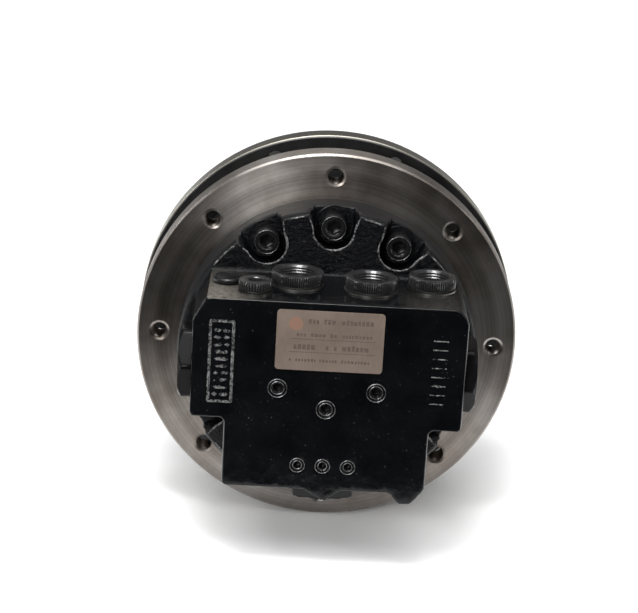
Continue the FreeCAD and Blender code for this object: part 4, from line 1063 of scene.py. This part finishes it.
def flag(name, corners):
    """A black studio flag: only reflections see it, so dark gloss stays dark as in a curtained room."""
    bm = bmesh.new()
    bm.faces.new([bm.verts.new(corner) for corner in corners])
    mesh = bpy.data.meshes.new(name)
    bm.to_mesh(mesh)
    bm.free()
    card = bpy.data.objects.new(name, mesh)
    bpy.context.scene.collection.objects.link(card)
    g = Graph(name + "_cloth")
    weave = g.noise(g.position(), 40.0, 2.0)
    g.surface(Base_Color=g.ramp(weave, (0.3, 0.003), (0.7, 0.006)), Roughness=0.95, Specular_IOR_Level=0.02)
    mesh.materials.append(g.material)
    card.visible_camera = False
    card.visible_diffuse = False
    card.visible_shadow = False


def lights():
    world = bpy.data.worlds.new("studio")
    bpy.context.scene.world = world
    world.use_nodes = True
    backdrop = world.node_tree.nodes["Background"]
    backdrop.inputs["Color"].default_value = (1.0, 1.0, 1.0, 1.0)
    backdrop.inputs["Strength"].default_value = 0.18
    sun("overhead_sun", (0.1, 0.25, -1.0), 60.0, 3.2)
    area_light("front_left_box", (-0.52, -1.48, 0.63), (0, 0, 0), (0.45, 0.45), 12.0)
    area_light("top_box", (-0.15, -0.55, 1.25), (0, 0, 0), (0.5, 0.25), 11.0)
    area_light("high_right_box", (0.75, -1.0, 1.05), (0, 0, 0), (0.6, 0.5), 4.2)
    area_light("right_strip", (1.2, -0.6, 0.35), (0, 0, 0), (0.10, 0.9), 4.0)
    area_light("left_strip", (-1.3, -0.2, 0.5), (0, 0, 0), (0.10, 0.9), 3.5)
    low = cad_box[0].z + 1 * MM
    flag("floor_flag", [(-1.6, -2.6, low), (1.6, -2.6, low), (1.6, -0.2, low), (-1.6, -0.2, low)])
    flag("rear_flag", [(-1.6, -2.6, low), (1.6, -2.6, low), (1.6, -2.6, 1.6), (-1.6, -2.6, 1.6)])


def camera():
    azimuth, elevation, roll = (math.radians(d) for d in (-1.06, 17.95, 3.30))
    back = Vector((math.sin(azimuth) * math.cos(elevation), -math.cos(azimuth) * math.cos(elevation),
                   math.sin(elevation)))
    right = Vector((math.cos(azimuth), math.sin(azimuth), 0.0))
    up = back.cross(right)
    rolled_right = right * math.cos(roll) + up * math.sin(roll)
    rolled_up = up * math.cos(roll) - right * math.sin(roll)
    position = back * 1.257 - rolled_right * 0.0046 + rolled_up * 0.0202
    data = bpy.data.cameras.new("camera")
    data.sensor_width = 36.0
    data.lens = 112.85
    data.clip_end = 100.0
    view = bpy.data.objects.new("camera", data)
    bpy.context.scene.collection.objects.link(view)
    turn = Matrix((rolled_right, rolled_up, back)).transposed()
    view.matrix_world = Matrix.Translation(position) @ turn.to_4x4()
    bpy.context.scene.camera = view


floor()
lights()
camera()
bpy.context.scene.view_settings.view_transform = "Standard"
